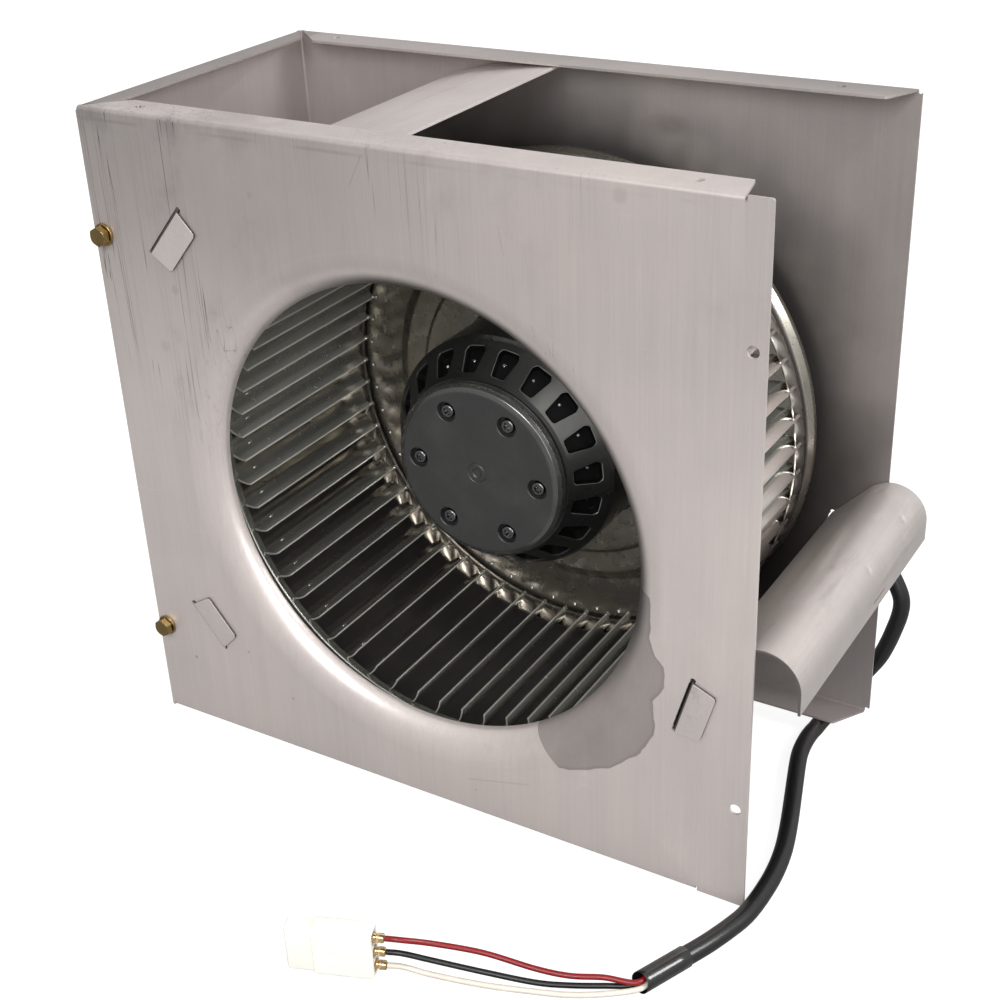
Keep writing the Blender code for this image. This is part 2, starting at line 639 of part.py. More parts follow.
# Pocket outline: (across, up the slope from the shoulder's inner edge).
POCKET_OUTLINE = [(-2.9, 2.6), (2.9, 2.6), (4.7, 12.8), (3.6, 14.9), (-3.6, 14.9),
                  (-4.7, 12.8)]
POCKET_DEPTHS = (-2.5, 4.2)     # from above the shoulder into the metal

CAP_Y = -92.0
CAP_BACK_Y = ROTOR_FRONT_Y - GAP
CAP_PROFILE = [(0.0, CAP_Y), (36.4, CAP_Y), (37.9, -89.8), (37.9, CAP_BACK_Y),
               (0.0, CAP_BACK_Y)]
CAP_SCREWS = circle(27.7, 6, start=math.radians(58.0))   # (x, z) of each
CAP_RECESS_R = 4.2
CAP_RECESS_DEPTH = 3.0
CAP_HOLE_R = 1.85
CAP_HOLE_Y = (CAP_Y + 1.0, -80.0)
CAP_SCREW_Y = CAP_Y + 0.5       # front of the screw head
# Pan head and shank (radius, y).
CAP_SCREW_PROFILE = [(0.0, CAP_SCREW_Y), (2.5, CAP_SCREW_Y), (3.0, CAP_SCREW_Y + 0.6),
                     (3.0, CAP_SCREW_Y + 2.2), (1.5, CAP_SCREW_Y + 2.2), (1.5, -82.0),
                     (0.0, -82.0)]
SOCKET_R = 1.6                  # hexagonal socket, to the corners
SOCKET_DEPTH = 1.3
CUT_MARGIN = 1.0                # cutters start this far outside the metal

ROTOR_CORE_R = (45.9, 38.2)
STATOR_Y = (-62.0, -30.0)       # both lamination stacks

SHAFT_R = 3.7
SHAFT_GROOVE_Y = (-13.6, -12.1)
SHAFT_GROOVE_R = 3.3
SHAFT_PROFILE = [(0.0, -86.0), (SHAFT_R - 0.5, -86.0), (SHAFT_R, -85.5),
                 (SHAFT_R, SHAFT_GROOVE_Y[0]), (SHAFT_GROOVE_R, SHAFT_GROOVE_Y[0]),
                 (SHAFT_GROOVE_R, SHAFT_GROOVE_Y[1]), (SHAFT_R, SHAFT_GROOVE_Y[1]),
                 (SHAFT_R, -9.5), (SHAFT_R - 0.4, -9.0), (0.0, -9.0)]
CIRCLIP_R_OUT = 5.6
CIRCLIP_R_IN = 3.6
CIRCLIP_T = 0.8
CIRCLIP_HALF_GAP = 25           # degrees
CIRCLIP_STEPS = 14


def pocket_cutters():
    """Rounded trapezoids sunk square to the sloping shoulder."""
    (r_in, y_in), (r_out, y_out) = SHOULDER_IN, SHOULDER_OUT
    slope_len = math.hypot(r_out - r_in, y_out - y_in)
    slope_r, slope_y = (r_out - r_in) / slope_len, (y_out - y_in) / slope_len
    # into the metal: towards the axis and the rear
    in_r, in_y = -slope_y, slope_r
    bm = bmesh.new()
    for k in range(N_POCKETS):
        angle = math.radians(90) + 2 * math.pi * (k + 0.5) / N_POCKETS
        cos, sin = math.cos(angle), math.sin(angle)
        frame = Matrix(((-sin, cos * slope_r, cos * in_r, cos * r_in * MM),
                        (0, slope_y, in_y, y_in * MM),
                        (cos, sin * slope_r, sin * in_r, sin * r_in * MM),
                        (0, 0, 0, 1)))
        prism(bm, POCKET_OUTLINE, frame, *POCKET_DEPTHS)
    return add("cut_pockets", outward_mesh(bm, "cut_pockets"))


def axial_cutter(name, holes):
    """One cutter of round or polygonal holes along the fan axis, from a list of
    (outline, y0, y1)."""
    bm = bmesh.new()
    for outline, y0, y1 in holes:
        prism(bm, outline, ALONG_Y, y0, y1)
    return add(name, outward_mesh(bm, name))


def build_rotor_bell_and_cap():
    bell = lathe("rotor_bell", ROTOR_PROFILE, N_POCKETS * 2, BLACK_PAINT, parent=fan_axis)
    boolean(bell, pocket_cutters(), 'DIFFERENCE')
    cap = lathe("rotor_front_cap", CAP_PROFILE, 36, BLACK_CAP, closed=False,
                parent=fan_axis)
    recesses = axial_cutter("cut_recess", [
        (circle(CAP_RECESS_R, 12, at), CAP_Y - CUT_MARGIN, CAP_Y + CAP_RECESS_DEPTH)
        for at in CAP_SCREWS])
    through = axial_cutter("cut_cap_holes", [
        (circle(CAP_HOLE_R, 8, at), *CAP_HOLE_Y) for at in CAP_SCREWS])
    boolean(cap, recesses, 'DIFFERENCE')
    boolean(cap, through, 'DIFFERENCE')
    boolean(bell, through, 'DIFFERENCE')


def build_cap_screws():
    for number, at in enumerate(CAP_SCREWS, 1):
        screw = lathe("cap_screw_%d" % number, CAP_SCREW_PROFILE, 8, BLACK_SCREW,
                      closed=False, parent=fan_axis, at=at)
        socket = axial_cutter("cut_socket_%d" % number, [
            (circle(SOCKET_R, 6, at), CAP_SCREW_Y - CUT_MARGIN, CAP_SCREW_Y + SOCKET_DEPTH)])
        boolean(screw, socket, 'DIFFERENCE')


def build_shaft():
    """Shaft, and the open circlip in its groove."""
    lathe("motor_shaft", SHAFT_PROFILE, 16, STEEL, closed=False, parent=fan_axis)
    sweep = 360 - 2 * CIRCLIP_HALF_GAP
    angles = [math.radians(CIRCLIP_HALF_GAP + sweep * i / CIRCLIP_STEPS)
              for i in range(CIRCLIP_STEPS + 1)]
    loop = [polar(CIRCLIP_R_OUT, angle) for angle in angles]
    loop += [polar(CIRCLIP_R_IN, angle) for angle in reversed(angles)]
    flat_curve("shaft_circlip", [loop], CIRCLIP_T, (0, sum(SHAFT_GROOVE_Y) / 2, 0), STEEL,
               parent=fan_axis)


def build_rotor():
    build_rotor_bell_and_cap()
    build_cap_screws()
    tube_ring("rotor_core", *ROTOR_CORE_R, *STATOR_Y, 32, LAMINATION, parent=fan_axis)
    build_shaft()


# ---------------------------------------------------------------- bearings
BEARINGS = (("front", -73.3, -66.3), ("rear", -21.0, -14.0))   # name, y range
BEARING_R = 11.0
OUTER_RACE_R_IN = 9.0
INNER_RACE_R = 6.0
BALL_R = 1.2
BALL_CENTRES = circle(7.5, 7)
BALL_CAGE_R = (7.9, 7.15)
BALL_CAGE_HALF_W = 0.6
PRELOAD_R = (10.6, 8.6)
PRELOAD_Y = (-22.0, -21.4)


def build_bearings():
    for tag, y0, y1 in BEARINGS:
        middle = (y0 + y1) / 2
        tube_ring("bearing_%s_outer" % tag, BEARING_R, OUTER_RACE_R_IN, y0, y1, 18, STEEL)
        tube_ring("bearing_%s_inner" % tag, INNER_RACE_R, SHAFT_R + GAP, y0, y1, 18, STEEL,
                  parent=fan_axis)
        bm = bmesh.new()
        for x, z in BALL_CENTRES:
            bmesh.ops.create_uvsphere(bm, u_segments=6, v_segments=4, radius=BALL_R * MM,
                                      matrix=Matrix.Translation(metres(x, middle, z)))
        balls = add("balls_" + tag, to_mesh(bm, "balls"))
        cage = tube_ring("bearing_%s_ball_cage" % tag, *BALL_CAGE_R,
                         middle - BALL_CAGE_HALF_W, middle + BALL_CAGE_HALF_W, 14, STEEL)
        boolean(cage, balls, 'UNION')
    tube_ring("preload_washer", *PRELOAD_R, *PRELOAD_Y, 18, STEEL)


# ---------------------------------------------------------------- stator
BEARING_SEAT_R = BEARING_R + GAP
FRONT_SEAT_Y = (BEARINGS[0][1] - GAP, BEARINGS[0][2] + GAP)
REAR_SEAT_Y = PRELOAD_Y[0] - GAP
# Flange and bearing tube in one (radius, y): outside forwards, then the bore back.
MOTOR_FLANGE_PROFILE = [
    (46.0, Y_INSIDE_BACK), (46.0, -6.3), (45.0, -7.3), (20.0, -7.3), (14.2, -12.0),
    (14.2, FRONT_SEAT_Y[0]), (BEARING_SEAT_R, FRONT_SEAT_Y[0]),
    (BEARING_SEAT_R, FRONT_SEAT_Y[1]), (9.6, FRONT_SEAT_Y[1]), (9.6, REAR_SEAT_Y),
    (BEARING_SEAT_R, REAR_SEAT_Y), (BEARING_SEAT_R, Y_INSIDE_BACK)]
FLANGE_CUT_Y = (-9.0, 1.0)
FLANGE_SCREW_HOLE_R = 2.15
FLANGE_CABLE_HOLE_R = 6.4
MOTOR_SCREW_PROFILE = [(0.0, 3.0), (2.6, 3.0), (3.6, 1.8), (3.6, GAP), (1.8, GAP),
                       (1.8, -6.8), (0.0, -6.8)]
N_TEETH = 12
HALF_TOOTH = math.pi / N_TEETH
# One tooth and the slot after it: (radius, angle from the tooth's middle).
TOOTH_OUTLINE = (
    (37.6, -HALF_TOOTH + 0.045), (37.6, 0.0), (37.6, HALF_TOOTH - 0.045),
    (34.5, HALF_TOOTH - 0.05), (33.0, HALF_TOOTH - 0.17), (22.0, HALF_TOOTH - 0.13),
    (22.0, HALF_TOOTH + 0.13), (33.0, HALF_TOOTH + 0.17), (34.5, HALF_TOOTH + 0.05))
STATOR_BORE_R = 14.6
WINDINGS = (("front", -75.4, -62.3), ("rear", -29.7, -15.5))   # name, y range
WINDING_CHAMFER_Y = 2.5     # at the front edges


def build_motor_flange():
    body = lathe("motor_flange", MOTOR_FLANGE_PROFILE, 24, DIECAST)
    outlines = [circle(FLANGE_SCREW_HOLE_R, 8, at) for at in MOTOR_SCREWS]
    outlines.append(circle(FLANGE_CABLE_HOLE_R, 12, CABLE_HOLE))
    holes = axial_cutter("cut_flange_holes",
                         [(outline, *FLANGE_CUT_Y) for outline in outlines])
    boolean(body, holes, 'DIFFERENCE')
    for number, at in enumerate(MOTOR_SCREWS, 1):
        lathe("motor_screw_%d" % number, MOTOR_SCREW_PROFILE, 12, STEEL, closed=False, at=at)


def build_stator():
    """Core with slots opening outwards, and the winding heads at its ends."""
    loop = [polar(radius, 2 * math.pi * k / N_TEETH + offset)
            for k in range(N_TEETH) for radius, offset in TOOTH_OUTLINE]
    flat_curve("stator_core", [loop, circle(STATOR_BORE_R, 32)], STATOR_Y[1] - STATOR_Y[0],
               (0, sum(STATOR_Y) / 2, 0), LAMINATION)
    for tag, y0, y1 in WINDINGS:
        chamfer_y = y0 + WINDING_CHAMFER_Y
        lathe("winding_" + tag, [(35.2, chamfer_y), (35.2, y1), (17.8, y1),
                                 (17.8, chamfer_y), (19.8, y0), (33.2, y0)], 26, COPPER)


# ---------------------------------------------------------------- cable
CABLE_R = 3.6
# Cable control points (x, y, z): out of the back, round under the casing and forward.
CABLE_PATH = [
    (34.0, -6.0, -6.0), (34.0, -1.0, -6.0), (34.4, 3.6, -6.0), (40.0, 7.6, -6.8),
    (60.0, 8.2, -9.0), (95.0, 8.0, -18.0), (122.0, 8.0, -34.0), (138.0, 8.0, -56.0),
    (145.2, 8.0, -67.5), (147.5, 8.0, -76.0), (145.4, 8.0, -88.0), (140.2, 8.0, -104.0),
    (132.0, 7.6, -118.0), (127.0, 6.2, -127.4), (125.2, 3.4, -131.7),
    (123.7, -2.6, -133.0), (122.4, -9.5, -132.8), (121.9, -17.8, -132.6),
    (121.8, -26.5, -131.4), (123.4, -40.2, -130.4), (128.6, -58.6, -129.3),
    (136.0, -83.0, -128.0), (141.4, -103.0, -126.8), (143.9, -118.3, -125.9),
    (144.6, -130.5, -125.3), (144.4, -142.5, -124.7), (143.2, -151.5, -124.2),
    (140.3, -162.5, -123.4)]
# Straight last stretch of the sheath.
CABLE_END_START = Vector((137.6, -170.5, -123.0))
CABLE_END = Vector((128.6, -192.8, -121.9))
CABLE_END_DIR = (CABLE_END - CABLE_END_START).normalized()
GROMMET_PROFILE = [(5.6, GAP), (5.6, -4.0), (4.15, -4.0), (4.15, 2.0), (7.4, 2.0),
                   (8.6, 1.4), (8.6, GAP)]
SLEEVE_R_OUT = 4.05
SLEEVE_R_IN = 3.78
SLEEVE_ON_SHEATH = 15.0     # length over the sheath
SLEEVE_PAST_END = 7.0       # length past the sheath's end
SLEEVE_START = CABLE_END - CABLE_END_DIR * SLEEVE_ON_SHEATH
SLEEVE_END = CABLE_END + CABLE_END_DIR * SLEEVE_PAST_END


def build_cable():
    straight = [CABLE_END_START, CABLE_END_START.lerp(CABLE_END, 0.5), CABLE_END]
    tube("cable_sheath", spline(CABLE_PATH, 2) + straight, CABLE_R, PVC)
    lathe("cable_grommet", GROMMET_PROFILE, 16, RUBBER, at=CABLE_HOLE)


def build_end_sleeve():
    """Sleeve slipped over the sheath's end, turned about its own Z."""
    length = (SLEEVE_ON_SHEATH + SLEEVE_PAST_END) * MM
    outer, inner = SLEEVE_R_OUT * MM, SLEEVE_R_IN * MM
    mesh = bpy.data.meshes.new("cable_end_sleeve")
    mesh.from_pydata([(outer, 0, length), (outer, 0, 0), (inner, 0, 0), (inner, 0, length)],
                     [(0, 1), (1, 2), (2, 3), (3, 0)], [])
    ob = add("cable_end_sleeve", mesh, SLEEVE)
    turn(ob, 'Z', 16)
    ob.location = SLEEVE_START * MM
    ob.rotation_euler = CABLE_END_DIR.to_track_quat('Z', 'Y').to_euler()


# ---------------------------------------------------------------- plug and wires
# The plug lies on its narrow side, with its three ways one above the other.
# Its wire end faces along PLUG_DIR, towards the cable.
PLUG_YAW = math.radians(20.5)
PLUG_DIR = Vector((math.cos(PLUG_YAW), math.sin(PLUG_YAW), 0.0))
PLUG_END = Vector((41.4, -238.1, -112.4))       # centre of the wire-end face
PLUG_SIZE = (32.0, 8.6, 20.0)                   # along PLUG_DIR, across, up
PLUG_BEVEL = 0.9
WAY_PITCH = 6.35
WAY_CUT = (16.0, 5.2, 5.0)      # cutter centred on the wire-end face
STEP_CUT = (12.0, 2.0, 30.0)    # cutter centred on each long edge of the mating end
TERMINAL_SIZE = (10.0, 3.2, 3.6)
TERMINAL_SET_BACK = 1.2         # its middle, behind the wire-end face
TERMINAL_BEVEL = 0.7
WIRE_R = 1.05
WIRE_IN_SLEEVE = 5.0            # the wire starts this far inside the sleeve
WIRE_OUT_OF_SLEEVE = 2.0        # and keeps the sleeve's direction this far past it
WIRE_LEAD = 6.0                 # straight run before the terminal
# Name, material, way counted up from the middle one, offset in the sleeve
# (sideways, up), and the control points (x, y, z) from the sleeve to the terminal.
WIRES = (
    ("red", RED_WIRE, 1, (0.0, 1.45),
     [(114.8, -204.5, -119.6), (104.0, -209.7, -119.4), (92.0, -213.1, -118.7),
      (73.9, -218.0, -115.5), (59.0, -226.6, -110.8)]),
    ("black", BLACK_WIRE, 0, (-1.3, -0.75),
     [(115.2, -205.6, -122.4), (104.7, -211.4, -122.1), (94.0, -216.8, -121.1),
      (76.8, -223.2, -118.7), (60.1, -230.0, -115.2)]),
    ("white", WHITE_WIRE, -1, (1.3, -0.75),
     [(117.2, -208.9, -122.4), (106.7, -215.1, -122.4), (95.6, -219.6, -122.3),
      (78.4, -226.1, -121.6), (60.9, -231.7, -120.2)]),
)


def place_on_plug(ob, centre):
    ob.location = centre * MM
    ob.rotation_euler = (0, 0, PLUG_YAW)


def build_housing():
    length, width, _ = PLUG_SIZE
    centre = PLUG_END - PLUG_DIR * (length / 2)
    bm = bmesh.new()
    block(bm, PLUG_SIZE)
    housing = add("connector_housing", to_mesh(bm, "connector_housing"), NYLON)
    place_on_plug(housing, centre)
    bevel(housing, PLUG_BEVEL)
    cut = bmesh.new()
    for way in (-1, 0, 1):
        block(cut, WAY_CUT, (length / 2, 0, way * WAY_PITCH))
    # step down each long side towards the mating end
    for side in (-1, 1):
        block(cut, STEP_CUT, (-length / 2, side * width / 2, 0))
    ways = add("cut_ways", outward_mesh(cut, "cut_ways"))
    place_on_plug(ways, centre)
    boolean(housing, ways, 'DIFFERENCE')


def build_wires():
    """Each wire with its terminal, which stands out of the way it sits in."""
    sideways = Vector((-CABLE_END_DIR.y, CABLE_END_DIR.x, 0)).normalized()
    up = Vector((0, 0, 1))
    tip_reach = TERMINAL_SIZE[0] / 2 - TERMINAL_SET_BACK + GAP
    for name, mat, way, (offset_side, offset_up), path in WIRES:
        way_centre = PLUG_END + up * (way * WAY_PITCH)
        bm = bmesh.new()
        block(bm, TERMINAL_SIZE)
        terminal = add("terminal_" + name, to_mesh(bm, "terminal"), TERMINAL)
        place_on_plug(terminal, way_centre - PLUG_DIR * TERMINAL_SET_BACK)
        bevel(terminal, TERMINAL_BEVEL)
        start = SLEEVE_END + sideways * offset_side + up * offset_up
        tip = way_centre + PLUG_DIR * tip_reach
        controls = [start - CABLE_END_DIR * WIRE_IN_SLEEVE,
                    start + CABLE_END_DIR * WIRE_OUT_OF_SLEEVE,
                    *path, tip + PLUG_DIR * WIRE_LEAD, tip]
        tube(name + "_wire", spline(controls, 2), WIRE_R, mat)


build_front_plate()
build_back_side_panel()
build_scroll_wrap()
build_side_fasteners()
build_impeller()
build_rotor()
build_bearings()
build_motor_flange()
build_stator()
build_cable()
build_end_sleeve()
build_housing()
build_wires()
bpy.context.view_layer.update()
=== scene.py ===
"""Looks of a combustion fan: single-inlet forward-curved blower with an external-rotor motor.

Lengths are millimetres in the fan's frame: the origin is where the fan axis meets the outer
face of the back plate, +X is to the right seen from the inlet, +Y runs along the axis out of
the back and +Z is up. ORIGIN is that point in the part's frame, in metres. Flat outlines are
(x, z) seen from the inlet unless a comment says otherwise. Shaders work in metres.
"""

import math
import bpy
import bmesh
from mathutils import Matrix, Vector


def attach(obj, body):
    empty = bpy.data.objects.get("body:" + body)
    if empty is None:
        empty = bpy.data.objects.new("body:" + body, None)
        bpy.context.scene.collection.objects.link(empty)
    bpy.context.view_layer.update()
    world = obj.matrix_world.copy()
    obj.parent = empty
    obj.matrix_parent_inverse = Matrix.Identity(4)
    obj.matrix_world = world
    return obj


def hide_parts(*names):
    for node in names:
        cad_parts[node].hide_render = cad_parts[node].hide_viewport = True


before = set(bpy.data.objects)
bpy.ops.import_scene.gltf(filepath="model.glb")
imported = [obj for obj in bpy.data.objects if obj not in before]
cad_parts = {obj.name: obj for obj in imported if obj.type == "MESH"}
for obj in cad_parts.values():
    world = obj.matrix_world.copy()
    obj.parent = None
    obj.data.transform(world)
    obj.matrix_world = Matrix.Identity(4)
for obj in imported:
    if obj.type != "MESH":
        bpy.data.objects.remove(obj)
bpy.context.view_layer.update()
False

MM = 0.001
ORIGIN = Vector((-0.0600, 0.1316, -0.1455))

# ---------------------------------------------------------------- sizes shared with the CAD part
SHEET = 1.0
GAP = 0.3                           # clearance between neighbouring pieces
HALF_WIDTH = 140.0
FRONT_Y, BACK_Y = -140.0, 0.0
BOTTOM_Z, TOP_Z = -128.5, 145.5
INNER_FRONT_Y = FRONT_Y + SHEET + GAP
INNER_BACK_Y = BACK_Y - SHEET - GAP
BEND_R = 1.7
CORNER_R = 2.4                      # bend between back plate and side wall
FLANGE_FRONT, FLANGE_BACK, FLANGE_LEFT, FLANGE_BOTTOM = 15.5, 16.0, 10.5, 16.0
FLANGE_HOLE_R = 1.8
FLANGE_HOLE_X = (-114.8, 112.0)
BELL_R_OUT, BELL_R_IN, BELL_DEPTH = 108.0, 93.2, 8.4
EDGE_HOLE_X, EDGE_HOLE_R = 135.1, 2.2
EDGE_HOLE_Z = (95.8, -84.0)
# Scroll tabs: start and end of the bend line, and the vector the tab folds along.
TABS = (
    ((117.6, -33.6), (110.9, -56.3), (9.6, -2.8)),
    ((-103.0, -85.9), (-117.1, -67.9), (8.7, 6.8)),
    ((-111.2, 92.1), (-95.5, 110.3), (8.5, -7.3)),
)
# Scroll curve: degrees below +X, turning clockwise seen from the inlet, and radius.
SCROLL_RADII = (
    (26.9, 124.4), (60.0, 125.2), (90.0, 126.3), (115.0, 129.8), (140.2, 134.1), (149.9, 135.4),
    (180.0, 137.9), (200.0, 141.0), (219.6, 144.4), (229.1, 145.9), (247.0, 146.0))
SCROLL_END = ((-42.0, 138.4), (-26.0, 140.9), (-14.0, 142.5), (-3.4, 143.6))
NOSE_CENTRE, NOSE_R, NOSE_DROP = (142.8, -27.7), 13.7, 8.4
NOSE_SLOT_Y = (-64.0, -51.0)
BLADES = 57
BLADE_R_IN, BLADE_ARC_R, BLADE_THICKNESS = 98.8, 12.0, 0.6
BLADE_TURN = math.radians(62.0)
RING_R = 110.5
CAP_Y = -92.0
POCKETS = 19
SLOPE_IN, SLOPE_OUT = (38.6, -86.2), (50.0, -72.2)   # (radius, y) ends of the bell's cone
SLOPE_DIR = (Vector(SLOPE_OUT) - Vector(SLOPE_IN)).normalized()
SLOPE_LENGTH = math.hypot(SLOPE_OUT[0] - SLOPE_IN[0], SLOPE_OUT[1] - SLOPE_IN[1])
SLOPE_R = (SLOPE_OUT[0] - SLOPE_IN[0]) / SLOPE_LENGTH
SLOPE_Y = (SLOPE_OUT[1] - SLOPE_IN[1]) / SLOPE_LENGTH
CAP_SCREW_PITCH_R, CAP_SCREW_START = 27.7, 58.0      # start in degrees
MOTOR_SCREW_PITCH_R = 38.0
CABLE_HOLE = (34.0, -6.0)
CABLE_R, SLEEVE_R = 3.6, 4.03


# ---------------------------------------------------------------- mesh helpers
def metres(x, y, z):
    return Vector((x * MM, y * MM, z * MM))


def rectangle(left, right, low, high):
    return [(left, low), (right, low), (right, high), (left, high)]


def circle(x, z, radius, count):
    return [(x + radius * math.cos(2 * math.pi * i / count),
             z + radius * math.sin(2 * math.pi * i / count)) for i in range(count)]


def disc(x, y, z, radius, count):
    """Points of a circle facing along the fan axis."""
    return [(px, y, pz) for px, pz in circle(x, z, radius, count)]


def rounded(points, radii, segments=5, closed=True):
    """The outline with its corners rounded; radii is one number or one for each point."""
    count = len(points)
    if not hasattr(radii, "__len__"):
        radii = [radii] * count
    outline = []
    for i, radius in enumerate(radii):
        if radius <= 0 or (not closed and i in (0, count - 1)):
            outline.append(tuple(points[i]))
            continue
        corner = Vector(points[i])
        before = Vector(points[i - 1]) - corner
        after = Vector(points[(i + 1) % count]) - corner
        length_before, length_after = before.length, after.length
        before.normalize()
        after.normalize()
        half = math.acos(max(-1.0, min(1.0, before.dot(after)))) / 2
        if half > math.radians(88.5) or half < 0.02:
            outline.append(tuple(corner))
            continue
        cut = min(radius / math.tan(half), 0.45 * length_before, 0.45 * length_after)
        fitted = cut * math.tan(half)
        centre = corner + (before + after).normalized() * (fitted / math.sin(half))
        start, end = corner + before * cut - centre, corner + after * cut - centre
        first = math.atan2(start.y, start.x)
        turn = math.atan2(start.x * end.y - start.y * end.x, start.dot(end))
        for k in range(segments + 1):
            angle = first + turn * k / segments
            outline.append((centre.x + fitted * math.cos(angle),
                            centre.y + fitted * math.sin(angle)))
    return outline


def thicken(line, thickness):
    """Closed outline around an open (radius, y) line."""
    left, right = [], []
    for i, spot in enumerate(line):
        spot = Vector(spot)
        before = (spot - Vector(line[i - 1])).normalized() if i else None
        after = (Vector(line[i + 1]) - spot).normalized() if i < len(line) - 1 else None
        before, after = before or after, after or before
        normal = Vector((-(before + after).y, (before + after).x)).normalized()
        reach = (thickness / 2) / max(0.3, normal.dot(Vector((-before.y, before.x))))
        left.append(tuple(spot + normal * reach))
        right.append(tuple(spot - normal * reach))
    return left + right[::-1]


def spline(controls, steps):
    """Catmull-Rom curve through the controls."""
    knots = [Vector(c) for c in controls]
    knots = [2 * knots[0] - knots[1]] + knots + [2 * knots[-1] - knots[-2]]
    curve = []
    for i in range(1, len(knots) - 2):
        p0, p1, p2, p3 = knots[i - 1:i + 3]
        for k in range(steps):
            t = k / steps
            curve.append(0.5 * ((2 * p1) + (p2 - p0) * t
                                + (2 * p0 - 5 * p1 + 4 * p2 - p3) * t * t
                                + (3 * p1 - p0 - 3 * p2 + p3) * t * t * t))
    curve.append(knots[-2])
    return curve


def lathe(profile, segments, closed=True, at=(0.0, 0.0), wave=None, mesh=None):
    """Turns a (radius, y) profile about the line through at, parallel to the fan axis.

    wave(radius, y, angle) gives each vertex its own radius.
    """
    mesh = mesh or bmesh.new()
    rings = []
    for radius, y in profile:
        if radius < 1e-6:
            rings.append([mesh.verts.new(metres(at[0], y, at[1]))])
            continue
        ring = []
        for i in range(segments):
            angle = 2 * math.pi * i / segments
            r = wave(radius, y, angle) if wave else radius
            ring.append(mesh.verts.new(metres(at[0] + r * math.cos(angle), y,
                                              at[1] + r * math.sin(angle))))
        rings.append(ring)
    pairs = list(zip(rings[:-1], rings[1:])) + ([(rings[-1], rings[0])] if closed else [])
    for near, far in pairs:
        if len(near) == 1 and len(far) == 1:
            continue
        for i in range(segments):
            j = (i + 1) % segments
            if len(near) == 1:
                mesh.faces.new((near[0], far[i], far[j]))
            elif len(far) == 1:
                mesh.faces.new((near[i], far[0], near[j]))
            else:
                mesh.faces.new((near[i], far[i], far[j], near[j]))
    return mesh


def loft(mesh, loops):
    """Skins equal loops of points into a closed body."""
    rings = [[mesh.verts.new(metres(*p)) for p in loop] for loop in loops]
    count = len(rings[0])
    for near, far in zip(rings[:-1], rings[1:]):
        for i in range(count):
            j = (i + 1) % count
            mesh.faces.new((near[i], near[j], far[j], far[i]))
    mesh.faces.new(rings[0][::-1])
    mesh.faces.new(rings[-1])
    return mesh


def ring_about(centre, across, up, radius, count):
    angles = [2 * math.pi * k / count for k in range(count)]
    return [centre + (across * math.cos(a) + up * math.sin(a)) * radius for a in angles]


def sweep(points, radius, sides, chamfer=0.25):
    """Round bar along the points, its section carried without twist, its ends chamfered."""
    last = len(points) - 1
    tangents = [(points[min(i + 1, last)] - points[max(i - 1, 0)]).normalized()
                for i in range(last + 1)]
    across = tangents[0].orthogonal().normalized()
    loops = []
    for i, (centre, along) in enumerate(zip(points, tangents)):
        if i:
            axis = tangents[i - 1].cross(along)
            if axis.length > 1e-9:
                turn = tangents[i - 1].angle(along)
                across = Matrix.Rotation(turn, 3, axis.normalized()) @ across
            across = (across - along * across.dot(along)).normalized()
        up = along.cross(across)
        loop = ring_about(centre, across, up, radius, sides)
        if i == 0:
            loops.append(ring_about(centre, across, up, radius - chamfer, sides))
            loop = [q + along * chamfer for q in loop]
        if i == last:
            loops.append([q - along * chamfer for q in loop])
            loop = [centre + (q - centre) * (1 - chamfer / radius) for q in loop]
        loops.append(loop)
    return loft(bmesh.new(), loops)


def to_data(mesh, name):
    data = bpy.data.meshes.new(name)
    mesh.to_mesh(data)
    mesh.free()
    return data


def mesh_of(mesh, name):
    bmesh.ops.recalc_face_normals(mesh, faces=mesh.faces)
    return to_data(mesh, name)


def smooth(data, angle=32.0):
    data.shade_smooth()
    data.set_sharp_from_angle(angle=math.radians(angle))
    return data


def add_object(name, data):
    ob = bpy.data.objects.new(name, data)
    bpy.context.scene.collection.objects.link(ob)
    return ob


def bake(data, cutters=(), sheet_offset=None, bevel=None, angle=32.0):
    """Gives a surface the sheet's thickness, cuts it and bevels its edges, as asked."""
    ob = add_object("bake", smooth(data, angle))
    if sheet_offset is not None:
        solid = ob.modifiers.new("sheet", 'SOLIDIFY')
        solid.thickness, solid.offset = SHEET * MM, sheet_offset
        solid.use_even_offset = solid.use_quality_normals = True
    tools = [add_object("tool", cutter) for cutter in cutters]
    for tool in tools:
        cut = ob.modifiers.new("cut", 'BOOLEAN')
        cut.operation, cut.solver, cut.object = 'DIFFERENCE', 'EXACT', tool
    if bevel:
        edges = ob.modifiers.new("edges", 'BEVEL')
        edges.width, edges.segments = bevel * MM, 2
        edges.limit_method, edges.angle_limit = 'ANGLE', math.radians(angle)
        edges.harden_normals = True
        edges.use_clamp_overlap = True
    bpy.context.view_layer.update()
    graph = bpy.context.evaluated_depsgraph_get()
    result = bpy.data.meshes.new_from_object(
        ob.evaluated_get(graph), preserve_all_data_layers=True, depsgraph=graph)
    if not bevel:
        smooth(result, angle)
    for spent in tools + [ob]:
        bpy.data.objects.remove(spent, do_unlink=True)
    return result


def piece(name, data, material, slot, *nodes, body="casing"):
    """Adds a finished piece that rides on body and stands in for the named CAD nodes."""
    ob = add_object(name, data)
    data.materials.clear()
    data.materials.append(MATERIALS[material])
    ob.location = ORIGIN
    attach(ob, body)
    if nodes:
        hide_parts(*nodes)


# ---------------------------------------------------------------- material helpers
def srgb(red, green=None, blue=None):
    """Linear colour from 0-255 display values; one value alone is a grey."""
    if green is None:
        green = blue = red
    return tuple(((c / 255 + 0.055) / 1.055) ** 2.4 if c > 10 else c / 255 / 12.92
                 for c in (red, green, blue)) + (1.0,)


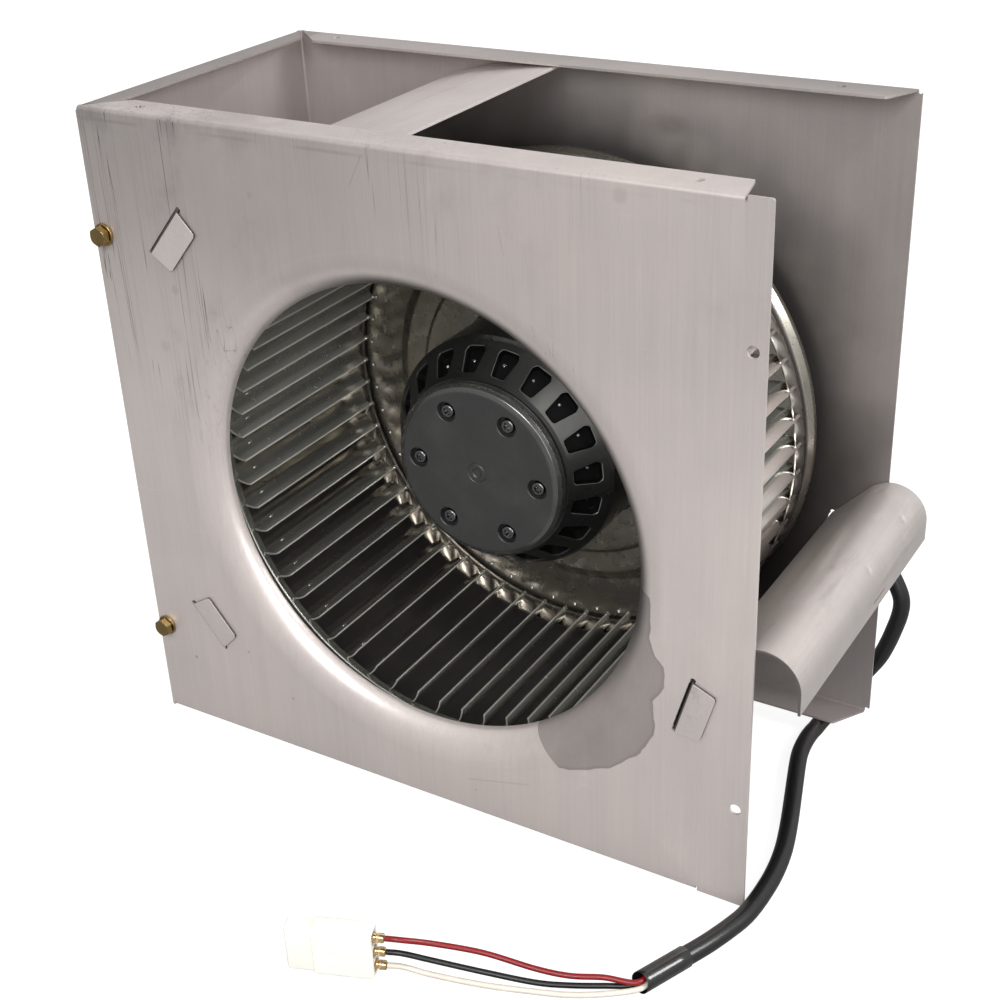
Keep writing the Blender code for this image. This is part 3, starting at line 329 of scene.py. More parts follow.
def math_node(operation, swapped=False):
    """A method that makes a Math node from a signal and an optional second operand."""
    def method(self, other=0.0):
        first, second = (other, self) if swapped else (self, other)
        return self.mat.node("Math", {0: first, 1: second, 2: 0.0}, operation=operation)
    return method


class Signal:
    """A node's output; its operators and methods add the nodes that work on it."""

    __add__, __radd__ = math_node('ADD'), math_node('ADD', swapped=True)
    __sub__, __rsub__ = math_node('SUBTRACT'), math_node('SUBTRACT', swapped=True)
    __mul__, __truediv__ = math_node('MULTIPLY'), math_node('DIVIDE')
    __abs__ = math_node('ABSOLUTE')
    larger, smaller = math_node('MAXIMUM'), math_node('MINIMUM')
    root, fraction, arctan_over = math_node('SQRT'), math_node('FRACT'), math_node('ARCTAN2')

    def __init__(self, mat, socket):
        self.mat, self.socket = mat, socket

    def swing(self, amount):
        """The signal centred on zero and scaled."""
        return (self - 0.5) * amount

    def fade(self, amount):
        """A factor that falls by amount where the signal is one."""
        return 1.0 - self * amount

    def between(self, zero, one):
        """Smooth step from 0 at the first value to 1 at the second, which may be the lower."""
        return self.mat.node("MapRange", {0: self, 1: zero, 2: one, 3: 0.0, 4: 1.0},
                             interpolation_type='SMOOTHSTEP')

    def line(self, width):
        """Thin lines where the signal passes through one half."""
        return abs(self - 0.5).between(width, 0.0)

    def hypot(self, other):
        return (self * self + other * other).root()

    def toward(self, colour, share):
        return self.mat.mix(share, self, colour)


class Material:
    """Short calls for a material's node tree; origin moves the coordinates' zero."""

    def __init__(self, name, origin=None):
        self.data = bpy.data.materials.new(name)
        self.data.use_nodes = True
        self.tree = self.data.node_tree
        self.coords = self.node("TexCoord", out="Object")
        if origin is not None:
            self.coords = self.node("VectorMath", {0: self.coords, 1: tuple(origin)},
                                    operation='SUBTRACT')
        self._axes = None

    def node(self, kind, inputs=None, out=0, **props):
        """Adds a shader node and returns one of its outputs."""
        made = self.tree.nodes.new("ShaderNode" + kind)
        for name, value in props.items():
            setattr(made, name, value)
        for key, value in (inputs or {}).items():
            self.feed(made.inputs[key], value)
        return Signal(self, made.outputs[out])

    def feed(self, socket, value):
        if isinstance(value, Signal):
            self.tree.links.new(value.socket, socket)
        else:
            socket.default_value = value

    def surface(self, **inputs):
        """Feeds the surface shader, its inputs' names in snake case; returns the material."""
        sockets = {s.name.lower().replace(" ", "_"): s
                   for s in self.tree.nodes["Principled BSDF"].inputs}
        for name, value in inputs.items():
            self.feed(sockets[name], value)
        return self.data

    @property
    def axes(self):
        if self._axes is None:
            node = self.node("SeparateXYZ", {0: self.coords}).socket.node
            self._axes = tuple(Signal(self, node.outputs[i]) for i in range(3))
        return self._axes

    def radius(self):
        """Distance from the fan axis."""
        x, _, z = self.axes
        return x.hypot(z)

    def angle(self):
        """Angle about the fan axis from +X towards +Z, -pi to pi."""
        x, _, z = self.axes
        return z.arctan_over(x)

    def noise(self, scale=1.0, detail=3.0, rough=0.5, distortion=0.0,
              stretch=None, turn=(0, 0, 0), shift=(0, 0, 0)):
        """Noise; stretch scales each axis apart, so a low number draws it out."""
        vector = self.coords
        if stretch:
            vector = self.node("Mapping", {"Vector": vector, "Scale": stretch,
                                           "Rotation": turn, "Location": shift})
        return self.node("TexNoise", {"Vector": vector, "Scale": scale, "Detail": detail,
                                      "Roughness": rough, "Distortion": distortion})

    def mix(self, share, first, second, mode='MIX'):
        return self.node("Mix", {0: share, 6: first, 7: second}, out=2,
                         data_type='RGBA', blend_type=mode)

    def lerp(self, share, first, second):
        return self.node("Mix", {0: share, 2: first, 3: second}, data_type='FLOAT')

    def ramp(self, share, stops):
        """Grey ramp through (position, value) stops."""
        result = self.node("ValToRGB", {0: share})
        ramp = result.socket.node.color_ramp
        ramp.interpolation = 'LINEAR'
        while len(ramp.elements) < len(stops):
            ramp.elements.new(0.5)
        for element, (position, value) in zip(ramp.elements, stops):
            element.position = position
            element.color = (value, value, value, 1.0)
        return result

    def tinted(self, colour, value):
        """colour times value."""
        grey = self.node("CombineColor", {0: value, 1: value, 2: value})
        return self.mix(1.0, colour, grey, 'MULTIPLY')

    def warmed(self, colour, tint, share):
        return colour.toward(self.mix(1.0, colour, tint, 'MULTIPLY'), share)

    def spot(self, at_x, at_z, radius, soft, stretch=(1.0, 1.0)):
        """Mark about (at_x, at_z) in mm; soft is the share of its radius that fades."""
        x, _, z = self.axes
        across = (x - at_x * MM) * (1 / stretch[0])
        up = (z - at_z * MM) * (1 / stretch[1])
        return across.hypot(up).between(radius * MM, radius * MM * (1 - soft))

    def bump(self, height, strength, distance, below=None):
        inputs = {"Height": height, "Strength": strength, "Distance": distance}
        if below is not None:
            inputs["Normal"] = below
        return self.node("Bump", inputs)


# ---------------------------------------------------------------- sheet metal
def galvanised(name, base, marks, metal, rough, grain=(900.0, 900.0, 16.0)):
    """Zinc-coated sheet; marks(mat, colour, roughness) adds the sheet's own dirt and its painted
    light and shade.
    """
    mat = Material(name)
    fine = mat.noise(stretch=grain)
    cloud = mat.noise(scale=16.0, detail=4.0, rough=0.55)
    streak = mat.noise(stretch=(130.0, 130.0, 5.0), detail=4.0, rough=0.6)
    speck = mat.noise(scale=1500.0, detail=2.0)
    value = 1.0 + fine.swing(0.14) + cloud.swing(0.16) + streak.swing(0.12) + speck.swing(0.10)
    # Long hair scratches in two directions, broken up.
    hair = mat.noise(stretch=(420.0, 420.0, 7.0), turn=(0, 0.10, 0), detail=1.0).line(0.010)
    hair *= mat.noise(scale=22.0, detail=2.0).between(0.52, 0.66)
    cross = mat.noise(stretch=(26.0, 26.0, 520.0), turn=(0, 0.45, 0.2), detail=1.0).line(0.007)
    cross *= mat.noise(stretch=(20.0, 20.0, 20.0), shift=(3, 1, 7), detail=2.0).between(0.58, 0.70)
    scratch_strength = 1.0
    scratch = hair.larger(cross) * scratch_strength
    smudge = mat.noise(scale=38.0, detail=5.0, rough=0.65, distortion=0.6).between(0.60, 0.76)
    value = value * smudge.fade(0.07) + scratch * 0.09
    colour = mat.warmed(mat.tinted(base, value), tint=(1.0, 0.965, 0.92, 1.0),
                        share=cloud.between(0.45, 0.75) * 0.35)
    roughness = rough + cloud.swing(0.22) + smudge * 0.10 + fine.swing(0.10)
    waviness = mat.bump(mat.noise(scale=11.0, detail=2.0), strength=0.25, distance=0.0016)
    relief = fine * 0.35 + (speck * 0.3 + scratch * -0.6)
    normal = mat.bump(relief, strength=0.35, distance=0.00004, below=waviness)
    colour, roughness = marks(mat, colour, roughness)
    return mat.surface(base_color=colour, metallic=metal - smudge * 0.12,
                       roughness=roughness, normal=normal)


# Stain outline: degrees about the fan axis from +X, and radius in mm.
STAIN_START, STAIN_R_MIN, STAIN_R_RANGE = 70, 80, 50
STAIN_EDGE = (
    (-62.0, 88.0), (-58.4, 91.6), (-56.0, 110.9), (-50.0, 115.5), (-45.0, 118.8), (-36.6, 120.8),
    (-31.0, 120.2), (-24.8, 111.9), (-20.5, 114.2), (-16.3, 110.4), (-14.8, 106.0),
    (-11.9, 102.2), (-2.6, 100.1), (-1.0, 88.0))
# Spots on the front plate: x, z, radius, darkness.
FRONT_SPOTS = (
    (-121, -97, 1.1, 0.40), (-90, -85, 0.9, 0.30), (-68, -102, 1.0, 0.30), (-112, 53, 3.2, 0.10),
    (-102.5, 78, 2.6, 0.12), (89, 140, 3.5, 0.14), (23, -117, 0.8, 0.22), (-60, 121, 1.6, 0.10))
# Dark lines on the front plate: x, z, half length, width, degrees from +X, darkness.
FRONT_LINES = (
    (33.5, -109.0, 16.5, 0.55, 14.5, 0.18), (-12, 136, 7.0, 0.4, 62, 0.20),
    (45, 119, 6.0, 0.4, 100, 0.15))


def inlet_stain(mat, radius, angle):
    """Masks of the dried stain at the inlet's lower right and of its darker rim."""
    span = math.radians(STAIN_START)
    stops = [((degrees + STAIN_START) / STAIN_START, (edge - STAIN_R_MIN) / STAIN_R_RANGE)
             for degrees, edge in STAIN_EDGE]
    reach = 0.080 + mat.ramp((angle + span) / span, stops) * 0.050
    wobble = mat.noise(scale=160.0).swing(0.0022)
    inside = (reach + wobble) - radius
    stain = inside.between(0.0, 0.0006)
    return stain, stain * inside.between(0.0022, 0.0004)


def front_marks(mat, colour, rough):
    """Front plate: painted shade darker at the upper left, wear at the upper left, stain, spots,
    lines, painted sheen on the bell mouth and painted shade inside the throat.
    """
    x, y, z = mat.axes
    # Painted shade: a slow change of tone, darker at the upper left and towards the top, on the
    # front face only.
    painted_light = x.between(-0.150, 0.120).larger(z.between(0.155, 0.020))
    tone = (0.76 + painted_light * 0.24) * z.between(0.000, 0.145).fade(0.20)
    colour = mat.tinted(colour, mat.lerp(y.between(-0.1396, -0.1380), tone, 0.98))
    # Real wear at the upper left: hair scratches and dark mottle.
    upper_patch = x.between(0.020, -0.110) * z.between(-0.010, 0.070)
    upper_patch = upper_patch.larger(z.between(0.085, 0.130) * 0.55)
    hair = mat.noise(stretch=(330.0, 330.0, 4.0), shift=(1, 2, 3), detail=1.5).line(0.012)
    hair *= mat.noise(stretch=(25.0, 25.0, 12.0)).between(0.44, 0.60)
    mottle = mat.noise(stretch=(34.0, 34.0, 24.0), shift=(5, 5, 5), detail=5.0, rough=0.6)
    mottle = mottle.between(0.50, 0.72)
    colour = colour.toward(srgb(84, 78, 76), upper_patch * (hair * 0.75 + mottle * 0.30))

    radius, angle = mat.radius(), mat.angle()
    stain, rim = inlet_stain(mat, radius, angle)
    body = 0.42 + mat.noise(scale=55.0, detail=4.0) * 0.16
    dark = stain * body + rim * 0.10
    for spot_x, spot_z, size, darkness in FRONT_SPOTS:
        dark += mat.spot(spot_x, spot_z, size, soft=0.6) * darkness
    for line_x, line_z, half, width, degrees, darkness in FRONT_LINES:
        cos, sin = math.cos(math.radians(degrees)), math.sin(math.radians(degrees))
        right, up = x - line_x * MM, z - line_z * MM
        along, across = abs(right * cos + up * sin), abs(right * -sin + up * cos)
        dark += (along.between(half * MM, half * MM * 0.8)
                 * across.between(width * MM, 0.0)) * darkness
    # Broken line just below the top bend.
    fold = abs(z - 0.1412).between(0.0010, 0.0002)
    fold *= mat.noise(stretch=(30.0, 30.0, 4.0)).between(0.42, 0.62)
    dark = (dark + fold * 0.16) * y.between(-0.1300, -0.1312)
    colour = colour.toward(srgb(70, 64, 60), dark.smaller(0.6))
    # Painted sheen: the bell mouth's colour is lifted a little; it is also smoother.
    bell = radius.between(0.1085, 0.1070)
    colour = colour.toward(mat.tinted(colour, 1.10), bell * 0.5)
    rough -= bell * 0.12
    # Painted shade in the throat, darkest at the upper right; it is also rougher there.
    arc = abs(angle - math.radians(44)).between(math.radians(84), math.radians(50))
    throat_shade = arc * radius.between(0.1004, 0.0948)
    throat_shade *= 0.72 + mat.noise(scale=45.0, detail=4.0) * 0.25
    colour = colour.toward(srgb(44, 46, 42), throat_shade)
    return colour, rough + throat_shade * 0.2 + stain * 0.14


def scroll_marks(mat, colour, rough):
    """Scroll: painted shade on the inner face, a dark outline on the tab edges partly painted
    shade, painted light on the top end and tabs, and scuffs.
    """
    x, y, z = mat.axes
    # Painted shade on the inner face away from the nose and the top end, as if inside the casing;
    # that face is also rougher.
    inside = x.between(0.118, 0.100) * z.between(0.128, 0.105)
    inside *= y.between(-0.1389, -0.1385) * y.between(-0.0010, -0.0014)
    shade_depth = 0.70 + mat.noise(scale=40.0, detail=4.0) * 0.15
    colour = colour.toward(srgb(46, 46, 43), inside * shade_depth)
    # Dark outline on the tab edges and bends: partly the bare cut edge of the sheet, partly
    # painted shade.
    front_edge = y.between(-0.14122, -0.14112) * y.between(-0.1384, -0.1388)
    edge = front_edge.larger(y.between(0.00122, 0.00112) * y.between(-0.0016, -0.0012))
    colour = colour.toward(srgb(44, 38, 35), edge * 0.88)
    # Painted light and shade: the scroll is darkened to 0.8, while its top end and the tabs
    # outside the plates are lifted as if in full light.
    top = x.between(0.060, 0.020) * z.between(0.118, 0.126)
    tab = y.between(-0.1398, -0.1401).larger(y.between(0.0001, 0.0004))
    colour = mat.tinted(colour, 0.80 + top.larger(tab * 0.62) * 0.38)
    scuff = mat.noise(stretch=(90.0, 14.0, 90.0), detail=5.0, rough=0.7).between(0.58, 0.72)
    colour = colour.toward(srgb(110, 102, 98), scuff * 0.20)
    return colour, rough + inside.larger(edge) * 0.15


def back_marks(mat, colour, rough):
    """Back plate: painted shade on the inner face, darker to the right and darkest around the
    wheel, a darker lip and a smear.
    """
    x, y, z = mat.axes
    radius = mat.radius()
    wobble = mat.noise(scale=18.0).swing(0.030)
    inner = y.between(-0.0300, -0.0020) * y.between(-0.0004, -0.0008)
    inner *= x.between(-0.1380, -0.1365)
    # Painted shade on the inner face: darker towards the right and darkest around the wheel.
    near = (radius + wobble).between(0.158, 0.108) * inner
    colour = colour.toward(srgb(60, 58, 56), inner * x.between(0.000, 0.110) * 0.30)
    colour = colour.toward(srgb(44, 42, 40), near * 0.84)
    # The lip at the top of the left end is darker.
    lip = x.between(-0.1250, -0.1290) * z.between(0.1435, 0.1445)
    colour = mat.tinted(colour, lip.fade(0.24))
    smear = mat.spot(40, 122, 9.0, soft=0.8, stretch=(1.6, 0.7))
    smear *= mat.noise(scale=120.0, detail=4.0)
    return colour.toward(srgb(96, 90, 86), smear * inner * 0.6), rough


# ---------------------------------------------------------------- other materials
def bare_metal(name, base, rough, metal=1.0, mottle=0.12, brushed=None, dirt=0.12,
               warm=(1.0, 0.93, 0.82, 1.0)):
    """Cloudy, spotted metal; brushed is the stretch of its grain."""
    mat = Material(name)
    fine = mat.noise(scale=1.0 if brushed else 900.0, stretch=brushed)
    cloud = mat.noise(scale=60.0, detail=4.0, rough=0.6)
    spots = mat.noise(scale=230.0, detail=4.0, rough=0.7).between(0.60, 0.74)
    value = 1.0 + (fine.swing(mottle) + cloud.swing(mottle * 1.6))
    colour = mat.tinted(base, value * spots.fade(dirt))
    scratch = mat.noise(stretch=(600.0, 60.0, 90.0), turn=(0.4, 0.3, 0.9), detail=1.0).line(0.010)
    return mat.surface(
        base_color=mat.warmed(colour, warm, share=cloud.between(0.42, 0.70) * 0.5),
        metallic=metal,
        roughness=rough + (cloud.swing(0.25) + spots * 0.15),
        normal=mat.bump(fine * 0.6 + scratch * -0.5, strength=0.3, distance=0.00004,
                        below=mat.bump(cloud, strength=0.15, distance=0.0003)))


def paint(name, base, rough, peel, dust, coat=0.0, polished=None):
    """Enamel, moulded plastic or rubber: orange peel, dust in patches, fine rubs.

    Beyond the radius polished, in metres, the surface turns glossy.
    """
    mat = Material(name)
    skin = mat.noise(scale=peel, detail=2.0)
    cloud = mat.noise(scale=45.0, detail=4.0, rough=0.6)
    fleck = mat.noise(scale=1700.0, detail=2.0, rough=0.7).between(0.63, 0.74)
    rub = mat.noise(stretch=(260.0, 30.0, 70.0), turn=(0.2, 0.5, 0.3), detail=1.0).line(0.008)
    dusty = cloud.between(0.45, 0.78) * dust + (fleck * (dust * 1.2) + rub * (dust * 0.8))
    if polished:
        band = mat.radius().between(polished, polished + 0.0008)
        gloss = dict(roughness=mat.lerp(band, rough + cloud.swing(0.22), 0.17),
                     specular_ior_level=0.5 + band * 0.5, coat_weight=band * 0.9)
    else:
        gloss = dict(roughness=rough + (cloud.swing(0.22) + fleck * 0.2),
                     specular_ior_level=0.5, coat_weight=coat)
    return mat.surface(
        base_color=mat.tinted(base, 0.85 + cloud * 0.3).toward((0.30, 0.29, 0.28, 1.0), dusty),
        coat_roughness=0.12,
        normal=mat.bump(skin + rub * -0.3, strength=0.4, distance=0.00006), **gloss)


def blade_metal():
    """Zinc strip, lighter and smoother at its outer side, lighter at its rear rim; painted
    highlights on its inner edges and by the front crimps, painted light on its inner faces and
    painted shade by the rear band.
    """
    mat = Material("blade_zinc")
    _, y, _ = mat.axes
    radius = mat.radius()
    fine = mat.noise(stretch=(700.0, 24.0, 700.0))
    cloud = mat.noise(scale=70.0, detail=4.0, rough=0.6)
    spots = mat.noise(scale=260.0, detail=4.0, rough=0.7).between(0.60, 0.76)
    value = (1.0 + (fine.swing(0.16) + cloud.swing(0.22))) * spots.fade(0.18)
    colour = mat.warmed(mat.tinted(srgb(168, 168, 161), value), tint=(1.0, 0.94, 0.85, 1.0),
                        share=cloud.between(0.5, 0.8) * 0.3)
    # Painted highlight on each blade's inner edge and by the front crimps.
    edge = radius.between(0.09935, 0.09905) * y.between(-0.0255, -0.0262)
    crimp = y.between(-0.1164, -0.1169) * radius.between(0.1052, 0.1046)
    painted_highlight = edge.larger(crimp * 0.8)
    outer = radius.between(0.1062, 0.1072)
    # Painted light on the inner part of each blade face.
    painted_lit_face = radius.between(0.1045, 0.1000) * y.between(-0.0250, -0.0262)
    # Painted shade in the dip by the rear band.
    groove_shade = abs(radius - 0.1082).between(0.0012, 0.0007) * y.between(-0.0300, -0.0290)
    rim = radius.between(0.1097, 0.1102)
    for tone, share in ((srgb(222, 220, 212), painted_lit_face * 0.26), (srgb(240, 234, 228), outer * 0.85),
                        (srgb(70, 66, 62), groove_shade * 0.75), (srgb(240, 238, 232), rim * 0.8),
                        (srgb(238, 236, 228), painted_highlight)):
        colour = colour.toward(tone, share)
    return mat.surface(
        base_color=colour,
        metallic=mat.lerp(painted_highlight, mat.lerp(outer, mat.lerp(painted_lit_face, 0.80, 0.62), 0.97), 0.55),
        roughness=0.21 + (cloud.swing(0.16) + spots * 0.15) - outer * 0.08,
        normal=mat.bump(fine, strength=0.25, distance=0.00003,
                        below=mat.bump(cloud, strength=0.12, distance=0.0003)))


def motor_enamel():
    """Black enamel: pockets duller and darkened with painted shade; their rims rubbed light, shown
    mostly towards the upper right as a painted highlight, with a painted reflection on the ridges
    between pockets there.
    """
    mat = Material("motor_enamel")
    _, y, _ = mat.axes
    radius, angle = mat.radius(), mat.angle()
    # Depth below the bell's cone.
    depth = (radius - SLOPE_IN[0] * MM) * -SLOPE_Y + (y + -SLOPE_IN[1] * MM) * SLOPE_R
    skin = mat.noise(scale=800.0, detail=2.0)
    cloud = mat.noise(scale=60.0, detail=4.0, rough=0.6)
    fleck = mat.noise(scale=1700.0, detail=2.0, rough=0.7).between(0.64, 0.75)
    zone = radius.between(0.0372, 0.0376) * y.between(-0.0702, -0.0712)
    ring = radius.between(0.0393, 0.0397) * radius.between(0.0500, 0.0494)
    # Painted highlight towards the upper right: the rims' real rubbed wear is shown mostly there,
    # and the ridges between the pockets there get a painted reflection.
    side = abs(angle - math.radians(38)).between(math.radians(78), math.radians(30))
    upper_patch = abs(angle - math.radians(40)).between(math.radians(26), math.radians(8))
    rim = depth.between(0.00003, 0.00009) * depth.between(0.00042, 0.00030) * (zone * ring)
    rim *= 0.12 + side * 0.88
    web_reflection = depth.between(0.00012, 0.00004) * (zone * ring) * (upper_patch * (0.25 + cloud * 0.6))
    # Painted shade at the bottom of the pockets, which are also duller.
    pocket_shade_and_dull = depth.between(0.0004, 0.0007) * zone
    colour = mat.tinted(srgb(20, 21, 21), 0.8 + cloud * 0.4)
    for tone, share in ((srgb(128, 128, 125), web_reflection * 0.8),
                        (srgb(150, 150, 147), rim * (0.35 + cloud * 0.6)),
                        (srgb(7, 7, 7), pocket_shade_and_dull * 0.85), (srgb(120), fleck * 0.08)):
        colour = colour.toward(tone, share)
    return mat.surface(
        base_color=colour, roughness=0.30 + cloud.swing(0.2) + pocket_shade_and_dull * 0.35,
        specular_ior_level=0.6 - pocket_shade_and_dull * 0.5, coat_weight=0.25 - pocket_shade_and_dull * 0.25,
        coat_roughness=0.15, normal=mat.bump(skin, strength=0.4, distance=0.00006))


def laminations():
    """Steel sheets stacked along the axis."""
    mat = Material("laminations", ORIGIN)
    _, y, _ = mat.axes
    sheets_per_metre = 2000.0
    seams = abs((y * sheets_per_metre).fraction() - 0.5).between(0.30, 0.48)
    grain = mat.noise(scale=300.0, detail=4.0)
    rust = mat.noise(scale=120.0, detail=5.0, rough=0.7).between(0.58, 0.74)
    steel = mat.tinted(srgb(128, 128, 132), 0.75 + grain * 0.45)
    return mat.surface(
        base_color=steel.toward(srgb(110, 72, 48), rust * 0.5), metallic=0.8,
        roughness=0.42 + grain * 0.15, normal=mat.bump(seams, strength=0.8, distance=0.0001))


def copper_coils():
    mat = Material("copper_coils", ORIGIN)
    _, y, _ = mat.axes
    around = mat.node("CombineXYZ", {0: mat.angle() * 40.0, 1: y * 1400.0, 2: 0.0})
    coil = mat.node("TexWave", {"Vector": around, "Scale": 1.0, "Distortion": 3.0,
                                "Detail": 2.0}, out=1)
    grain = mat.noise(scale=200.0)
    copper = mat.mix(coil, srgb(120, 58, 28), srgb(196, 110, 58))
    return mat.surface(
        base_color=mat.tinted(copper, 0.8 + grain * 0.4), metallic=0.75,
        roughness=0.26 + grain * 0.2, coat_weight=0.5,
        normal=mat.bump(coil, strength=0.9, distance=0.0002))


def cable_jacket():
    mat = Material("cable_jacket")
    cloud = mat.noise(scale=60.0)
    lay = mat.noise(stretch=(160.0, 60.0, 160.0), detail=2.0)
    dust = mat.noise(scale=900.0, detail=4.0, rough=0.75).between(0.60, 0.74)
    scuff = mat.noise(stretch=(500.0, 70.0, 500.0), detail=1.0).line(0.012)
    black = mat.tinted(srgb(17, 17, 18), 0.8 + cloud * 0.4)
    pores = mat.bump(mat.noise(scale=1200.0, detail=2.0), strength=0.2, distance=0.00004)
    return mat.surface(
        base_color=black.toward(srgb(150), dust * 0.035 + scuff * 0.03),
        roughness=0.24 + (cloud * 0.12 + dust * 0.12), specular_ior_level=0.6,
        normal=mat.bump(lay, strength=0.22, distance=0.0006, below=pores))


def wire_jacket(key, base, subsurface):
    mat = Material("wire_" + key)
    cloud = mat.noise(scale=220.0, detail=4.0)
    dust = mat.noise(scale=1500.0, rough=0.7).between(0.62, 0.75)
    jacket = mat.tinted(base, 0.85 + cloud * 0.3)
    return mat.surface(
        base_color=jacket.toward(srgb(120, 112, 104), dust * 0.03),
        roughness=0.26 + cloud * 0.16, subsurface_weight=subsurface, subsurface_scale=0.001,
        normal=mat.bump(cloud, strength=0.25, distance=0.0003))


def nylon():
    mat = Material("nylon")
    cloud = mat.noise(scale=120.0, detail=4.0, rough=0.6)
    texture = mat.noise(scale=2600.0, detail=2.0)
    grime = mat.noise(scale=330.0, detail=5.0, rough=0.7).between(0.60, 0.76)
    white = mat.tinted(srgb(240, 238, 230), 0.93 + cloud * 0.12)
    return mat.surface(
        base_color=white.toward(srgb(150, 140, 122), grime * 0.10),
        roughness=0.38 + cloud * 0.16, subsurface_weight=0.25,
        subsurface_radius=(1.0, 0.85, 0.6), subsurface_scale=0.0015,
        normal=mat.bump(texture, strength=0.3, distance=0.00005,
                        below=mat.bump(cloud, strength=0.2, distance=0.0003)))


def build_materials():
    return {
        "front": galvanised("sheet_front", srgb(212, 203, 200), front_marks,
                            metal=0.55, rough=0.44),
        "back": galvanised("sheet_back", srgb(192, 184, 182), back_marks, metal=0.6, rough=0.40),
        "scroll": galvanised("sheet_scroll", srgb(214, 206, 203), scroll_marks,
                             metal=0.6, rough=0.36, grain=(900.0, 16.0, 900.0)),
        "blade": blade_metal(),
        "hub": bare_metal("hub_zinc", srgb(158, 154, 146), rough=0.27, dirt=0.28, mottle=0.20,
                          metal=0.9),
        # A lighter copy of the blade zinc: painted highlight on the crimped lugs and pips.
        "crimp": bare_metal("crimp_bright", srgb(214, 212, 206), rough=0.20, dirt=0.15,
                            metal=0.85),
        "motor": motor_enamel(),
        "cap": paint("cap_enamel", srgb(47, 48, 47), rough=0.40, peel=1100.0, dust=0.04,
                     polished=0.0346),
        "cap_screw": bare_metal("black_oxide", srgb(112, 112, 112), rough=0.17, mottle=0.2,
                                dirt=0.2, warm=(1, 1, 1, 1)),
        "pin": bare_metal("pin_steel", srgb(200, 200, 200), rough=0.25),
        "brass": bare_metal("yellow_chromate", srgb(158, 136, 92), rough=0.22, dirt=0.45,
                            mottle=0.5, warm=(1.0, 0.86, 0.62, 1.0)),
        "zinc": bare_metal("zinc_bright", srgb(198, 198, 196), rough=0.28),
        "steel": bare_metal("ground_steel", srgb(190, 190, 192), rough=0.2,
                            brushed=(40.0, 900.0, 40.0)),
        "diecast": bare_metal("diecast", srgb(186, 186, 188), rough=0.46, metal=0.9,
                              mottle=0.2, dirt=0.2),
        "terminal": bare_metal("terminal_brass", srgb(236, 212, 170), rough=0.24, dirt=0.15,
                               warm=(1.0, 0.86, 0.6, 1.0)),
        "grommet": paint("grommet_rubber", srgb(24), rough=0.62, peel=1500.0, dust=0.12),
        "sleeve": paint("sleeve_black", srgb(20), rough=0.20, peel=300.0, dust=0.02, coat=0.5),
        "lamination": laminations(),
        "copper": copper_coils(),
        "cable": cable_jacket(),
        "red": wire_jacket("red", srgb(122, 10, 18), subsurface=0.08),
        "black": wire_jacket("black", srgb(6), subsurface=0.0),
        "white": wire_jacket("white", srgb(206, 198, 186), subsurface=0.08),
        "nylon": nylon(),
    }


# ---------------------------------------------------------------- casing sheets
def slot_loop(start, end, fold):
    """Slot a little longer than its tab, with round relief at both ends."""
    start, end = Vector(start), Vector(end)
    along = (end - start).normalized()
    inward = Vector((-along.y, along.x))
    if (start + end).dot(inward) > 0:
        inward = -inward
    start, end = start - along * 0.2, end + along * 0.2
    half_width, relief_r, shift = 0.95, 1.25, 0.55
    # The slot stands open on the side away from the fold.
    opening = inward * 0.0
    if inward.dot(Vector(fold)) < 0:
        opening = inward * shift
    else:
        start, end = start + inward * -shift, end + inward * -shift
    loop = [start + inward * half_width + along * 1.2 + opening,
            end + inward * half_width - along * 1.2 + opening]
    middle = math.atan2(inward.y, inward.x)
    side = 1.0 if (along.x * inward.y - along.y * inward.x) < 0 else -1.0
    for corner, sense, steps in ((end, side, range(7)), (start, -side, range(6, -1, -1))):
        for k in steps:
            angle = middle + sense * math.pi * (-0.25 + 1.05 * k / 6)
            centre = corner + inward * 0.25
            loop.append(centre + Vector((math.cos(angle), math.sin(angle))) * relief_r)
    return [tuple(p) for p in loop]


def panel(mesh, outline, holes, place):
    """Flat sheet with holes; place(u, v) puts an outline point in space."""
    edges = []
    for loop in [outline] + list(holes):
        verts = [mesh.verts.new(metres(*place(u, v))) for u, v in loop]
        edges += [mesh.edges.new((verts[i], verts[(i + 1) % len(verts)]))
                  for i in range(len(verts))]
    bmesh.ops.triangle_fill(mesh, use_beauty=True, use_dissolve=False, edges=edges)


def bend(mesh, start, end, leaving, arriving, radius, segments=5):
    """Quarter-round strip along start-end that turns from one direction to the other."""
    leaving, arriving = Vector(leaving), Vector(arriving)
    rows = []
    for k in range(segments + 1):
        angle = math.pi / 2 * k / segments
        offset = (leaving * (radius * (1 - math.cos(angle)))
                  + arriving * (radius * math.sin(angle)))
        rows.append([mesh.verts.new(metres(*(Vector(p) + offset))) for p in (start, end)])
    for (near0, near1), (far0, far1) in zip(rows[:-1], rows[1:]):
        mesh.faces.new((near0, far0, far1, near1))


def flange(mesh, left, right, y, z, depth, cut_left, cut_right, tip_r, hole_y=None):
    """Bend and flange at a plate's top or bottom edge; depth is signed along Y."""
    inward, outward = math.copysign(1.0, depth), math.copysign(1.0, z)
    edge_z = z - outward * BEND_R
    bend(mesh, (left, y, edge_z), (right, y, edge_z), (0, inward, 0), (0, 0, outward), BEND_R)
    fold, tip = y + inward * BEND_R, y + depth
    outline = [(left, fold), (right, fold), (right - cut_right, tip), (left + cut_left, tip)]
    holes = []
    if hole_y is not None:
        holes = [circle(x, hole_y, FLANGE_HOLE_R, 32) for x in FLANGE_HOLE_X]
    panel(mesh, rounded(outline, [0, 0, tip_r, 0.8], 4), holes, lambda u, v: (u, v, z))


